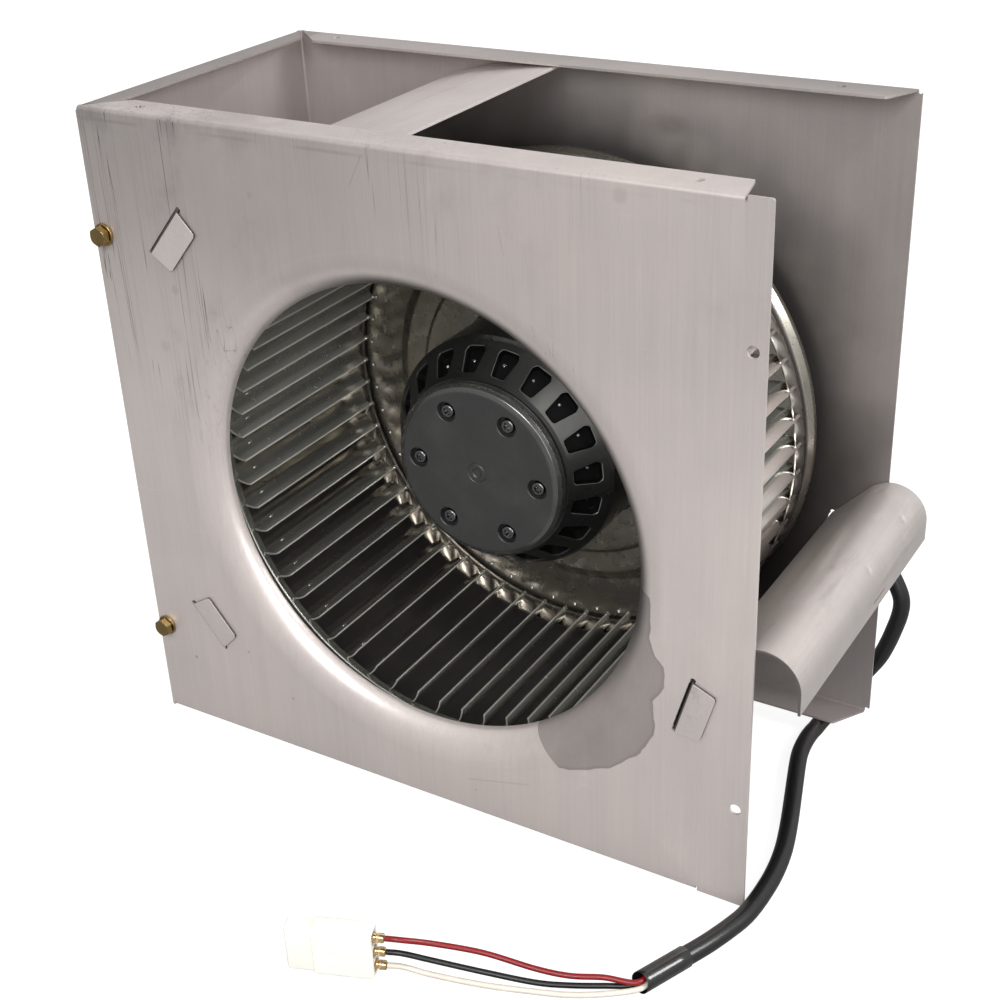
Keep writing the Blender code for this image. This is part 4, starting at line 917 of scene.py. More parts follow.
def close_sheet(mesh, name, near, facing):
    """Welds the sheet and turns it so that its face nearest to near looks along facing."""
    bmesh.ops.remove_doubles(mesh, verts=mesh.verts, dist=0.00002)
    bmesh.ops.recalc_face_normals(mesh, faces=mesh.faces)
    face = min(mesh.faces, key=lambda f: (f.calc_center_median() - metres(*near)).length)
    if face.normal.dot(Vector(facing)) < 0:
        bmesh.ops.reverse_faces(mesh, faces=mesh.faces)
    return to_data(mesh, name)


def inlet_bell(mesh, steps=16, segments=144):
    """Quarter-round mouth from the front plate's hole inwards."""
    rings = []
    for i in range(steps + 1):
        angle = math.pi / 2 * i / steps
        radius = BELL_R_OUT - (BELL_R_OUT - BELL_R_IN) * math.sin(angle)
        y = FRONT_Y + BELL_DEPTH * (1 - math.cos(angle))
        rings.append([mesh.verts.new(metres(*p)) for p in disc(0, y, 0, radius, segments)])
    for near, far in zip(rings[:-1], rings[1:]):
        for i in range(segments):
            j = (i + 1) % segments
            mesh.faces.new((near[i], far[i], far[j], near[j]))


def build_front_plate():
    mesh = bmesh.new()
    top_l, top_r = -HALF_WIDTH + 0.5, HALF_WIDTH - 9.5
    low_l, low_r = -HALF_WIDTH + 1.6, HALF_WIDTH - 20.0
    top_bend, low_bend = TOP_Z - BEND_R, BOTTOM_Z + BEND_R
    relief = 0.9                                   # slots beside the flanges
    outline = [
        (-HALF_WIDTH, BOTTOM_Z), (low_l - 0.6, BOTTOM_Z), (low_l, low_bend), (low_r, low_bend),
        (low_r + relief, low_bend + 1.0), (low_r + relief, BOTTOM_Z), (HALF_WIDTH, BOTTOM_Z),
        (HALF_WIDTH, TOP_Z), (top_r + relief, TOP_Z), (top_r + relief, top_bend - 1.0),
        (top_r, top_bend), (top_l, top_bend), (-HALF_WIDTH, top_bend)]
    radii = [0.8, 0, 0, 0, 0.3, 0.2, 0.9, 0.9, 0.2, 0.3, 0, 0, 0]
    holes = [circle(0, 0, BELL_R_OUT, 144)]
    holes += [circle(x, z, EDGE_HOLE_R, 32)
              for x in (-EDGE_HOLE_X, EDGE_HOLE_X) for z in EDGE_HOLE_Z]
    holes += [slot_loop(*tab) for tab in TABS]
    panel(mesh, rounded(outline, radii, 3), holes, lambda u, v: (u, FRONT_Y, v))
    flange(mesh, top_l, top_r, FRONT_Y, TOP_Z, depth=FLANGE_FRONT, cut_left=FLANGE_FRONT,
           cut_right=3.0, tip_r=1.0, hole_y=FRONT_Y + 8.4)
    flange(mesh, low_l, low_r, FRONT_Y, BOTTOM_Z, depth=FLANGE_BOTTOM, cut_left=0.0,
           cut_right=4.0, tip_r=1.0)
    inlet_bell(mesh)
    data = close_sheet(mesh, "front_plate_sheet", near=(0, FRONT_Y, -115), facing=(0, -1, 0))
    piece("front_plate_sheet", bake(data, sheet_offset=-1.0, bevel=0.12), "front",
          "sheet_galvanised", "front_plate")


def side_wall(mesh, notch):
    """Left wall with its corner bend, top flange and two screw lugs."""
    wall, edge_y = -HALF_WIDTH, INNER_FRONT_Y
    top_bend, lip_z = TOP_Z - BEND_R, TOP_Z - 0.2
    bend(mesh, (wall + CORNER_R, BACK_Y, BOTTOM_Z), (wall + CORNER_R, BACK_Y, lip_z),
         (0, -1, 0), (-1, 0, 0), CORNER_R, 7)
    back_y = BACK_Y - notch - 0.1
    outline = [                                    # (y, z)
        (BACK_Y - CORNER_R, BOTTOM_Z), (BACK_Y - CORNER_R, lip_z),
        (BACK_Y - notch + 0.1, lip_z), (BACK_Y - notch + 0.1, top_bend - 0.3),
        (back_y, top_bend), (edge_y, top_bend)]
    lugs = [(z, z - 15.0, z + 15.0) for z in EDGE_HOLE_Z]
    bend_y = edge_y + BEND_R
    for _, low, high in lugs:
        outline += [(edge_y, high + 0.8), (bend_y + 0.6, high + 0.8), (bend_y, high),
                    (bend_y, low), (bend_y + 0.6, low - 0.8), (edge_y, low - 0.8)]
    outline.append((edge_y, BOTTOM_Z))
    panel(mesh, outline, [], lambda u, v: (wall, u, v))
    bend(mesh, (wall, back_y, top_bend), (wall, edge_y, top_bend), (1, 0, 0), (0, 0, 1), BEND_R)
    flange_x = wall + FLANGE_LEFT
    top = [(wall + BEND_R, back_y), (flange_x, back_y - FLANGE_LEFT),
           (flange_x, edge_y + FLANGE_LEFT), (wall + BEND_R, edge_y)]
    panel(mesh, rounded(top, [0, 0.8, 0.8, 0], 4), [], lambda u, v: (u, v, TOP_Z))
    for z, low, high in lugs:
        bend(mesh, (wall, bend_y, low), (wall, bend_y, high), (1, 0, 0), (0, -1, 0), BEND_R)
        lug = [(wall + BEND_R, low), (wall + BEND_R, high),
               (wall + 12.0, high - 2.0), (wall + 12.0, low + 2.0)]
        panel(mesh, rounded(lug, [0, 0, 2.0, 2.0], 4),
              [circle(-EDGE_HOLE_X, z, EDGE_HOLE_R, 32)], lambda u, v: (u, edge_y, v))


def motor_screw_places():
    """(x, z) of the four screws through the back plate."""
    angles = [math.radians(45 + 90 * k) for k in range(4)]
    return [(MOTOR_SCREW_PITCH_R * math.cos(a), MOTOR_SCREW_PITCH_R * math.sin(a))
            for a in angles]


def build_back_side():
    """Back plate and left side wall, folded from one sheet."""
    mesh = bmesh.new()
    notch = 2.75
    corner_x = -HALF_WIDTH + CORNER_R
    top_l, top_r = -HALF_WIDTH + notch, HALF_WIDTH - 1.5
    low_l, low_r = -HALF_WIDTH + 3.0, HALF_WIDTH - 2.0
    top_bend, low_bend = TOP_Z - BEND_R, BOTTOM_Z + BEND_R
    outline = [
        (corner_x, BOTTOM_Z), (low_l - 0.05, BOTTOM_Z), (low_l, low_bend), (low_r, low_bend),
        (low_r + 0.5, low_bend + 0.8), (HALF_WIDTH, BOTTOM_Z + 2.0), (HALF_WIDTH, TOP_Z - 1.5),
        (top_r + 0.7, top_bend - 0.4), (top_r, top_bend), (top_l, top_bend),
        (top_l - 0.2, top_bend - 0.3), (top_l - 0.2, TOP_Z - 0.2), (corner_x, TOP_Z - 0.2)]
    holes = [circle(*CABLE_HOLE, 6.0, 40)]
    holes += [circle(x, z, 2.3, 24) for x, z in motor_screw_places()]
    holes += [slot_loop(*tab) for tab in TABS]
    panel(mesh, outline, holes, lambda u, v: (u, BACK_Y, v))
    flange(mesh, top_l, top_r, BACK_Y, TOP_Z, depth=-FLANGE_BACK, cut_left=FLANGE_BACK,
           cut_right=7.0, tip_r=1.2, hole_y=BACK_Y - 8.0)
    flange(mesh, low_l, low_r, BACK_Y, BOTTOM_Z, depth=-FLANGE_BOTTOM, cut_left=0.0,
           cut_right=9.0, tip_r=1.2)
    side_wall(mesh, notch)
    data = close_sheet(mesh, "back_side_sheet", near=(90, BACK_Y, 90), facing=(0, 1, 0))
    piece("back_side_sheet", bake(data, sheet_offset=-1.0, bevel=0.12), "back",
          "sheet_galvanised", "back_side_panel")


def bearing(place):
    """Angle of a point below +X, 0 to 2 pi."""
    return -math.atan2(place[1], place[0]) % (2 * math.pi)


def scroll_line():
    """The scroll seen from the inlet: nose, first tab, spiral through the others, end."""
    nose_x, nose_z = NOSE_CENTRE
    tab_start = Vector(TABS[0][0])
    to_nose = Vector(NOSE_CENTRE) - tab_start
    reach = math.sqrt(to_nose.length ** 2 - NOSE_R ** 2)
    rise = math.atan2(to_nose.y, to_nose.x) + math.asin(NOSE_R / to_nose.length)
    tangent = tab_start + Vector((math.cos(rise), math.sin(rise))) * reach
    arc = math.atan2(tangent.y - nose_z, tangent.x - nose_x)
    line = [(nose_x + NOSE_R, nose_z - NOSE_DROP + NOSE_DROP * k / 6) for k in range(6)]
    steps = 40
    for i in range(steps + 1):
        angle = arc * i / steps
        line.append((nose_x + NOSE_R * math.cos(angle), nose_z + NOSE_R * math.sin(angle)))
    line += [tuple(tangent.lerp(tab_start, 0.5)), tuple(tab_start), TABS[0][1]]
    spans = [sorted((bearing(start), bearing(end))) for start, end, _ in TABS]
    last = -1.0
    for angle, radius in spline([(math.radians(a), r) for a, r in SCROLL_RADII], 14):
        if angle <= spans[0][1] + 0.012 or angle <= last + 0.008:
            continue
        # The line runs straight between a tab's two ends.
        tab = next((i for i in (1, 2)
                    if spans[i][0] - 0.012 < angle < spans[i][1] + 0.012), None)
        if tab is None:
            line.append((radius * math.cos(angle), -radius * math.sin(angle)))
            last = angle
        elif last < spans[tab][0] - 0.001:
            line += sorted(TABS[tab][:2], key=bearing)
            last = spans[tab][1]
    return line + list(SCROLL_END)


# Small dents pressed into the nose: x, y, z, radius, depth.
DENTS = ((138.5, -9.0, -14.6, 2.4, 0.45), (152.6, -21.0, -18.0, 2.2, 0.45),
         (142.0, -75.0, -14.0, 2.2, 0.4), (153.4, -63.0, -19.2, 2.2, 0.4))


def scroll_stations():
    """Y values across the scroll, closer together around the dents."""
    steps = 30
    ys = [INNER_FRONT_Y + (INNER_BACK_Y - INNER_FRONT_Y) * k / steps for k in range(steps + 1)]
    for _, y, _, radius, _ in DENTS:
        ys += [y + radius * k / 3 for k in range(-4, 5)]
    ys = sorted(set(round(y, 3) for y in ys))
    return [y for i, y in enumerate(ys)
            if i == 0 or y - ys[i - 1] > 0.3 or i == len(ys) - 1]


def scroll_tab(mesh, start, end, fold, first, second, y_out, inward):
    """Tab bent over a plate, grown from the edge between vertices first and second."""
    bend_r, steps = 0.9, 5
    start, end, fold = Vector(start), Vector(end), Vector(fold)
    reach = fold.length
    fold.normalize()
    for k in range(steps + 1):
        angle = math.pi / 2 * k / steps
        offset = bend_r * (1 - math.cos(angle))
        y = y_out + inward * bend_r * (1 - math.sin(angle))
        near, far = [mesh.verts.new(metres(p.x + fold.x * offset, y, p.y + fold.y * offset))
                     for p in (start, end)]
        mesh.faces.new((first, second, far, near))
        first, second = near, far
    along = (end - start).normalized()
    corners = [start + fold * bend_r, end + fold * bend_r,
               end + fold * reach - along * 1.2, start + fold * reach + along * 1.2]
    tip = rounded([tuple(p) for p in corners], [0, 0, 1.6, 1.6], 5)[2:]
    mesh.faces.new([first, second] + [mesh.verts.new(metres(x, y_out, z)) for x, z in tip])


def build_scroll():
    line, ys = scroll_line(), scroll_stations()
    mesh = bmesh.new()
    rows = []
    for i, (x, z) in enumerate(line):
        before, after = Vector(line[max(i - 1, 0)]), Vector(line[min(i + 1, len(line) - 1)])
        along = (after - before).normalized()
        normal = Vector((along.y, -along.x))
        if normal.dot(Vector((x, z)) - Vector(NOSE_CENTRE)) < 0:
            normal = -normal
        row = []
        for y in ys:
            sink = 0.0
            for dent_x, dent_y, dent_z, radius, depth in DENTS:
                away = math.sqrt((x - dent_x) ** 2 + (y - dent_y) ** 2 + (z - dent_z) ** 2)
                away /= radius
                if away < 1.6:
                    sink += depth * math.exp(-(away * 1.5) ** 2)
            row.append(mesh.verts.new(metres(x - normal.x * sink, y, z - normal.y * sink)))
        rows.append(row)
    for near, far in zip(rows[:-1], rows[1:]):
        for k in range(len(ys) - 1):
            mesh.faces.new((near[k], far[k], far[k + 1], near[k + 1]))
    for start, end, fold in TABS:
        row_start, row_end = [
            rows[min(range(len(line)), key=lambda i: (Vector(line[i]) - Vector(p)).length)]
            for p in (start, end)]
        for side, y_out, inward in ((0, FRONT_Y - GAP - SHEET / 2, 1.0),
                                    (-1, BACK_Y + GAP + SHEET / 2, -1.0)):
            scroll_tab(mesh, start, end, fold, row_start[side], row_end[side], y_out, inward)
    data = close_sheet(mesh, "scroll_sheet", near=(0, -70, -130), facing=(0, 0, -1))
    # Slot through the outer face of the nose.
    nose_x, slot_z = NOSE_CENTRE[0] + NOSE_R, NOSE_CENTRE[1] - 4.5
    slot = rounded(rectangle(*NOSE_SLOT_Y, -0.6, 0.6), 0.5, 3)
    cut = loft(bmesh.new(), [[(x, y, slot_z + up) for y, up in slot]
                             for x in (nose_x - 3, nose_x + 3)])
    data = bake(data, cutters=[mesh_of(cut, "cut")], sheet_offset=0.0, bevel=0.1)
    piece("scroll_sheet", data, "scroll", "sheet_galvanised", "scroll_wrap")


# ---------------------------------------------------------------- fasteners
def hex_head(x, z, count=72):
    """Hexagon head in front of the washer, its outer end chamfered round."""
    corner_r, top_r, root_y, top_y = 4.04, 3.45, FRONT_Y - 1.5, FRONT_Y - 4.5
    base, side, top, dish = [], [], [], []
    for i in range(count):
        angle = 2 * math.pi * i / count
        from_flat = (angle - math.pi / 6) % (math.pi / 3) - math.pi / 6
        radius = corner_r * math.cos(math.pi / 6) / math.cos(from_flat)
        cos, sin = math.cos(angle), math.sin(angle)
        drop = max(0.0, radius - top_r) * math.tan(math.radians(32))
        flat = min(top_r, radius)
        for loop, r, y in ((base, radius, root_y), (side, radius, top_y + drop),
                           (top, flat, top_y), (dish, flat - 0.35, top_y + 0.06)):
            loop.append((x + r * cos, y, z + r * sin))
    return loft(bmesh.new(), [base, side, top, dish])


def build_side_screws():
    x = -EDGE_HOLE_X
    shank = [(0.0, FRONT_Y - 1.6), (1.9, FRONT_Y - 1.6), (1.9, FRONT_Y + 7.6),
             (1.5, FRONT_Y + 8.0), (0.0, FRONT_Y + 8.0)]
    washer = rounded([(4.5, FRONT_Y - GAP), (4.5, FRONT_Y - 1.2), (2.2, FRONT_Y - 1.2),
                      (2.2, FRONT_Y - GAP)], [0.15, 0.3, 0.15, 0.1], 3)
    for z, tag in zip(EDGE_HOLE_Z, ("upper", "lower")):
        mesh = lathe(shank, 32, closed=False, at=(x, z), mesh=hex_head(x, z))
        piece("side_screw_%s_hex" % tag, bake(mesh_of(mesh, "hex"), bevel=0.08, angle=25),
              "brass", "screw_brass", "side_screw_" + tag)
        piece("side_washer_%s_ring" % tag, smooth(mesh_of(lathe(washer, 64, at=(x, z)), "w")),
              "brass", "washer_brass", "side_washer_" + tag)


def build_motor_screws():
    """Cross-recessed screws in the outer face of the back plate."""
    profile = rounded([(0.0, 3.0), (2.6, 3.0), (3.6, 1.8), (3.6, GAP), (1.8, GAP), (1.8, -6.8),
                       (0.0, -6.8)], [0, 0.8, 0.6, 0.1, 0.2, 0.3, 0], 4)
    for k, (x, z) in enumerate(motor_screw_places()):
        slots = []
        for turn in (0.0, math.pi / 2):
            cos, sin = math.cos(turn + 0.3 + k), math.sin(turn + 0.3 + k)
            loops = [[(x + u * cos - v * sin, y, z + u * sin + v * cos)
                      for u, v in rectangle(-length, length, -width, width)]
                     for y, length, width in ((3.4, 1.9, 0.42), (1.2, 0.8, 0.26))]
            slots.append(mesh_of(loft(bmesh.new(), loops), "cross"))
        head = mesh_of(lathe(profile, 48, closed=False, at=(x, z)), "s")
        piece("motor_screw_%d_head" % (k + 1), bake(head, cutters=slots), "zinc", "screw_zinc",
              "motor_screw_%d" % (k + 1))


# ---------------------------------------------------------------- impeller
def around(radial, sideways, angle):
    """(x, z) of a point given outward and clockwise from the radius at angle."""
    return (radial * math.cos(angle) + sideways * math.sin(angle),
            radial * math.sin(angle) - sideways * math.cos(angle))


def blade_section(steps=9):
    """Blade outline: radial and sideways place, and share of the way out along its arc."""
    section = []
    half = BLADE_THICKNESS / 2
    for sign, order in ((1, range(steps + 1)), (-1, range(steps, -1, -1))):
        for i in order:
            turn = BLADE_TURN * i / steps
            section.append((
                BLADE_R_IN + BLADE_ARC_R * math.sin(turn) - math.sin(turn) * sign * half,
                BLADE_ARC_R * (1 - math.cos(turn)) + math.cos(turn) * sign * half, i / steps))
        turn = BLADE_TURN if sign == 1 else 0.0
        radial = BLADE_R_IN + BLADE_ARC_R * math.sin(turn)
        sideways = BLADE_ARC_R * (1 - math.cos(turn))
        cos, sin = math.cos(turn), math.sin(turn)
        for degrees in (60, 0, -60):               # rounded end
            out = math.cos(math.radians(degrees)) * half * 0.8 * sign
            over = math.sin(math.radians(degrees)) * half * sign
            section.append((radial + cos * out - sin * over, sideways + sin * out + cos * over,
                            1.0 if sign == 1 else 0.0))
    return section


def build_blade_crimps():
    """Crimped lugs at the blades' rear ends and a pressed pip near each front end."""
    # Radial place, sideways place, y, then half sizes: radial, sideways, along the axis.
    lugs = ((99.5, 0.1, -27.0, 1.35, 1.0, 1.5), (105.2, 2.6, -13.7, 1.0, 0.9, 0.5),
            (105.6, 2.35, -105.0, 0.6, 0.62, 1.35))
    mesh = bmesh.new()
    for k in range(BLADES):
        angle = 2 * math.pi * k / BLADES
        for radial, sideways, y, size_r, size_side, size_y in lugs:
            x, z = around(radial, sideways, angle)
            place = (Matrix.Translation(metres(x, y, z)) @ Matrix.Rotation(-angle, 4, 'Y')
                     @ Matrix.Diagonal((size_r, size_y, size_side, 1.0)))
            bmesh.ops.create_uvsphere(mesh, u_segments=12, v_segments=8, radius=MM,
                                      matrix=place)
    piece("blade_crimps", smooth(mesh_of(mesh, "lugs"), 80), "crimp", "impeller_zinc",
          body="rotor")


# Crimped rear band: y, middle radius, height of its waves.
REAR_BAND = (
    (-27.0, 109.2, 0.0), (-26.2, 109.3, 0.45), (-24.5, 109.35, 0.85), (-22.5, 109.35, 0.95),
    (-20.5, 109.35, 0.85), (-18.8, 109.3, 0.5), (-17.6, 109.0, 0.0), (-16.8, 108.7, 0.0),
    (-14.6, 108.7, 0.0), (-13.4, 109.2, 0.0))


def build_blade_cage():
    """Blades with the rolled front ring and the wavy rear band."""
    mesh = bmesh.new()
    section = blade_section()
    stations = (0.0, 0.004, 0.06, 0.3, 0.6, 0.9, 0.97, 1.0)
    for k in range(BLADES):
        angle = 2 * math.pi * k / BLADES
        loops = []
        for station in stations:
            loop = []
            for radial, sideways, share in section:
                front, rear = -118.0 + (1 - share) * 1.2, -28.0 + 7.0 * share
                x, z = around(radial, sideways, angle)
                loop.append((x, front + (rear - front) * station, z))
            loops.append(loop)
        loft(mesh, loops)
    ring = [(RING_R, -119.6), (RING_R, -115.6), (105.6, -115.6), (105.6, -119.6)]
    lathe(rounded(ring, [1.3, 0.5, 0.5, 1.0], 5), 228, mesh=mesh)
    height = {y: wave for y, _, wave in REAR_BAND}

    def wave(radius, y, angle):
        lobe = abs(math.cos((angle * BLADES) / 2 + 0.06 * (y + 22) * 3))
        return radius + height[y] * (lobe * 2 - 1.15) * 0.9

    outer = [(middle + 0.3, y) for y, middle, _ in REAR_BAND]
    inner = [(middle - 0.3, y) for y, middle, _ in REAR_BAND][::-1]
    lathe(outer + inner, BLADES * 10, wave=wave, mesh=mesh)
    piece("blade_cage_formed", smooth(mesh_of(mesh, "cage"), 40), "blade", "impeller_zinc",
          "impeller_blade_cage", body="rotor")


def build_hub_disc():
    line = rounded([(51.7, -14.0), (51.7, -22.0), (69.5, -22.0), (71.5, -18.6), (82.0, -18.6),
                    (88.0, -12.9), (107.8, -12.9), (110.1, -9.0), (110.1, -7.0)],
                   [0, 2.0, 1.5, 1.5, 2.5, 2.5, 1.0, 1.2, 0], 5, closed=False)
    piece("hub_disc_pressed", smooth(mesh_of(lathe(thicken(line, 0.8), 228), "hub"), 30),
          "hub", "hub_zinc", "impeller_hub_disc", body="rotor")


# ---------------------------------------------------------------- rotor
def build_bell():
    """Motor bell with a ring of pockets in its cone and a rivet end in each."""
    profile = rounded(
        [(4.0, -86.2), (38.0, -86.2), SLOPE_IN, SLOPE_OUT, (51.0, -70.5), (51.0, -12.5),
         (49.8, -12.0), (46.3, -12.0), (46.3, -68.5), (36.5, -77.2), (9.0, -77.2), (9.0, -75.0),
         (4.0, -75.0)], [0.2, 0, 0, 1.2, 0.8, 0.4, 0.2, 0.2, 0.5, 0.5, 0.2, 0.2, 0.2], 4)
    # Pocket outline: across the cone, and up its slope.
    outline = rounded([(-2.9, 2.6), (2.9, 2.6), (4.7, 12.8), (3.6, 14.9), (-3.6, 14.9),
                       (-4.7, 12.8)], [1.2, 1.2, 1.6, 1.2, 1.2, 1.6], 4)
    middle = Vector((0.0, 8.9))
    cut, pins = bmesh.new(), bmesh.new()
    for k in range(POCKETS):
        angle = math.radians(90) + 2 * math.pi * (k + 0.5) / POCKETS
        cos, sin = math.cos(angle), math.sin(angle)

        def on_cone(across, up, depth):
            radius = SLOPE_IN[0] + SLOPE_R * up + -SLOPE_Y * depth
            return (-sin * across + cos * radius, SLOPE_IN[1] + SLOPE_Y * up + SLOPE_R * depth,
                    cos * across + sin * radius)

        loops = []
        for depth, grow in ((-1.6, 1.85), (0.30, 0.0), (3.9, -0.15), (4.2, -0.45)):
            loop = []
            for corner in outline:
                away = Vector(corner) - middle
                away = away * (1 + grow / away.length)
                loop.append(on_cone(middle.x + away.x, middle.y + away.y, depth))
            loops.append(loop)
        loft(cut, loops)
        loft(pins, [[on_cone(1.6 + u, 9.8 + v, depth) for u, v in circle(0, 0, radius, 12)]
                    for depth, radius in ((4.6, 0.75), (3.4, 0.75), (3.15, 0.5))])
    bell = bake(mesh_of(lathe(profile, POCKETS * 12), "bell"),
                cutters=[mesh_of(cut, "pockets")], angle=28)
    piece("rotor_bell_cast", bell, "motor", "rotor_black", "rotor_bell", body="rotor")
    piece("rotor_rivets", smooth(mesh_of(pins, "pins")), "pin", "rotor_black", body="rotor")


def cap_screw_places():
    angles = [math.radians(CAP_SCREW_START + 60 * k) for k in range(6)]
    return [(CAP_SCREW_PITCH_R * math.cos(a), CAP_SCREW_PITCH_R * math.sin(a)) for a in angles]


def build_cap_screws():
    """Screws with a six-lobed socket, each turned a little further."""
    top = CAP_Y + 0.5
    profile = rounded([(0.0, top), (2.5, top), (3.0, top + 0.6), (3.0, top + 2.2),
                       (1.5, top + 2.2), (1.5, -82.0), (0.0, -82.0)],
                      [0, 0.6, 0.5, 0.15, 0.1, 0.2, 0], 4)
    angles = [2 * math.pi * i / 48 for i in range(48)]
    lobes = [1.42 + 0.30 * math.cos(6 * a) for a in angles]
    for k, (x, z) in enumerate(cap_screw_places()):
        turn = k * 0.37
        loops = [[(x + (r + grow) * math.cos(a + turn), y, z + (r + grow) * math.sin(a + turn))
                  for a, r in zip(angles, lobes)]
                 for y, grow in ((top - 0.6, 0.55), (top + 0.12, 0.0), (top + 1.3, -0.05))]
        socket = mesh_of(loft(bmesh.new(), loops), "sock")
        screw = mesh_of(lathe(profile, 48, closed=False, at=(x, z)), "scr")
        piece("cap_screw_%d_head" % (k + 1), bake(screw, cutters=[socket], angle=30),
              "cap_screw", "screw_black", "cap_screw_%d" % (k + 1), body="rotor")


def build_cap():
    """Front cap of the motor, recessed and bored for its screws."""
    profile = rounded(
        [(0.0, CAP_Y + 0.5), (1.6, CAP_Y + 0.5), (2.2, CAP_Y), (3.6, CAP_Y), (4.0, CAP_Y + 0.35),
         (4.4, CAP_Y), (34.6, CAP_Y), (36.7, CAP_Y + 0.8), (37.9, -89.8), (37.9, -86.5),
         (0.0, -86.5)], [0, 0.3, 0.3, 0.1, 0.2, 0.1, 3.0, 1.2, 0.6, 0.15, 0], 4)
    recess, bores = bmesh.new(), bmesh.new()
    for x, z in cap_screw_places():
        loft(recess, [disc(x, y, z, radius, 48)
                      for y, radius in ((CAP_Y - 0.8, 5.3), (CAP_Y + 0.28, 4.2),
                                        (CAP_Y + 2.9, 4.2), (CAP_Y + 3.0, 4.05))])
        loft(bores, [disc(x, y, z, 1.85, 24) for y in (CAP_Y + 1.0, -80.0)])
    cap = bake(mesh_of(lathe(profile, 144, closed=False), "cap"),
               cutters=[mesh_of(recess, "rec"), mesh_of(bores, "thr")], angle=30)
    piece("rotor_cap_cast", cap, "cap", "cap_black", "rotor_front_cap", body="rotor")


# ---------------------------------------------------------------- cable and plug
HOLE_X, HOLE_Z = CABLE_HOLE
# The cable leaves the back plate, runs down to the right and forward under the casing.
CABLE_PATH = (
    (HOLE_X, -6.0, HOLE_Z), (HOLE_X, -1.0, HOLE_Z), (HOLE_X + 0.4, 3.6, HOLE_Z),
    (HOLE_X + 6.0, 7.6, HOLE_Z - 0.8), (60.0, 8.08, -9.0), (95.0, 8.0, -18.0),
    (122.0, 8.0, -34.0), (138.0, 8.0, -56.0), (145.2, 8.0, -67.5), (147.5, 8.0, -76.0),
    (145.4, 8.0, -88.0), (140.2, 8.0, -104.0), (132.0, 7.6, -118.0), (127.0, 6.2, -127.2),
    (125.2, 3.4, -131.3), (123.7, -2.6, -132.5), (122.4, -9.5, -132.4), (121.9, -17.8, -132.2),
    (121.8, -26.5, -131.2), (123.4, -40.2, -130.4), (128.6, -58.6, -129.3),
    (136.0, -83.0, -128.0), (141.4, -103.0, -126.8), (143.9, -118.3, -125.9),
    (144.6, -130.5, -125.3), (144.4, -142.5, -124.7), (143.2, -151.5, -124.2),
    (140.3, -162.5, -123.4))
# The jacket's last stretch is straight.
STRAIGHT_START, JACKET_END = Vector((137.6, -170.5, -123.0)), Vector((128.6, -192.8, -121.9))
EXIT_DIR = (JACKET_END - STRAIGHT_START).normalized()
SLEEVE_START, SLEEVE_END = JACKET_END - EXIT_DIR * 15.0, JACKET_END + EXIT_DIR * 7.0

# Plug axes: along its length towards the wires, across its thickness, and up its width.
PLUG_ALONG = Vector((math.cos(math.radians(20.5)), math.sin(math.radians(20.5)), 0.0))
PLUG_ACROSS = Vector((PLUG_ALONG.y, -PLUG_ALONG.x, 0.0))
UP = Vector((0, 0, 1))
PLUG_END = Vector((41.4, -238.1, -112.4))            # middle of the wire end
PLUG_LENGTH, PLUG_THICKNESS, PLUG_WIDTH = 32.0, 8.6, 20.0
PLUG_CENTRE = PLUG_END - PLUG_ALONG * (PLUG_LENGTH / 2)
WAY_PITCH = 6.35
WIRE_R = 1.05
# Colour, way in the plug, place in the sleeve (sideways, up), points between the two.
WIRES = (
    ("red", 1, (0.0, 1.45), (
        (114.8, -204.5, -119.6), (104.0, -209.7, -119.4), (92.0, -213.1, -118.7),
        (73.9, -218.0, -115.5), (59.0, -226.6, -110.8))),
    ("black", 0, (-1.3, -0.75), (
        (115.2, -205.6, -122.4), (104.7, -211.4, -122.1), (94.0, -216.8, -121.1),
        (76.8, -223.2, -118.7), (60.1, -230.0, -115.2))),
    ("white", -1, (1.3, -0.75), (
        (117.2, -208.9, -122.4), (106.7, -215.1, -122.4), (95.6, -219.6, -122.3),
        (78.4, -226.1, -121.6), (60.9, -231.7, -120.2))),
)


def build_cable():
    coarse = spline(CABLE_PATH, 2)
    coarse += [STRAIGHT_START, STRAIGHT_START.lerp(JACKET_END, 0.5), JACKET_END]
    cable = sweep(spline(coarse, 4), CABLE_R, 40)
    piece("cable_jacket", smooth(mesh_of(cable, "cable"), 50), "cable", "cable_pvc",
          "cable_sheath")


def build_grommet():
    profile = rounded([(5.6, GAP), (5.6, -4.0), (4.15, -4.0), (4.15, 2.0), (7.4, 2.0),
                       (8.6, 1.4), (8.6, GAP)], [0.1, 0.4, 0.3, 0.5, 0.6, 0.5, 0.1], 4)
    piece("grommet_moulded", smooth(mesh_of(lathe(profile, 64, at=CABLE_HOLE), "grommet")),
          "grommet", "grommet_rubber", "cable_grommet")


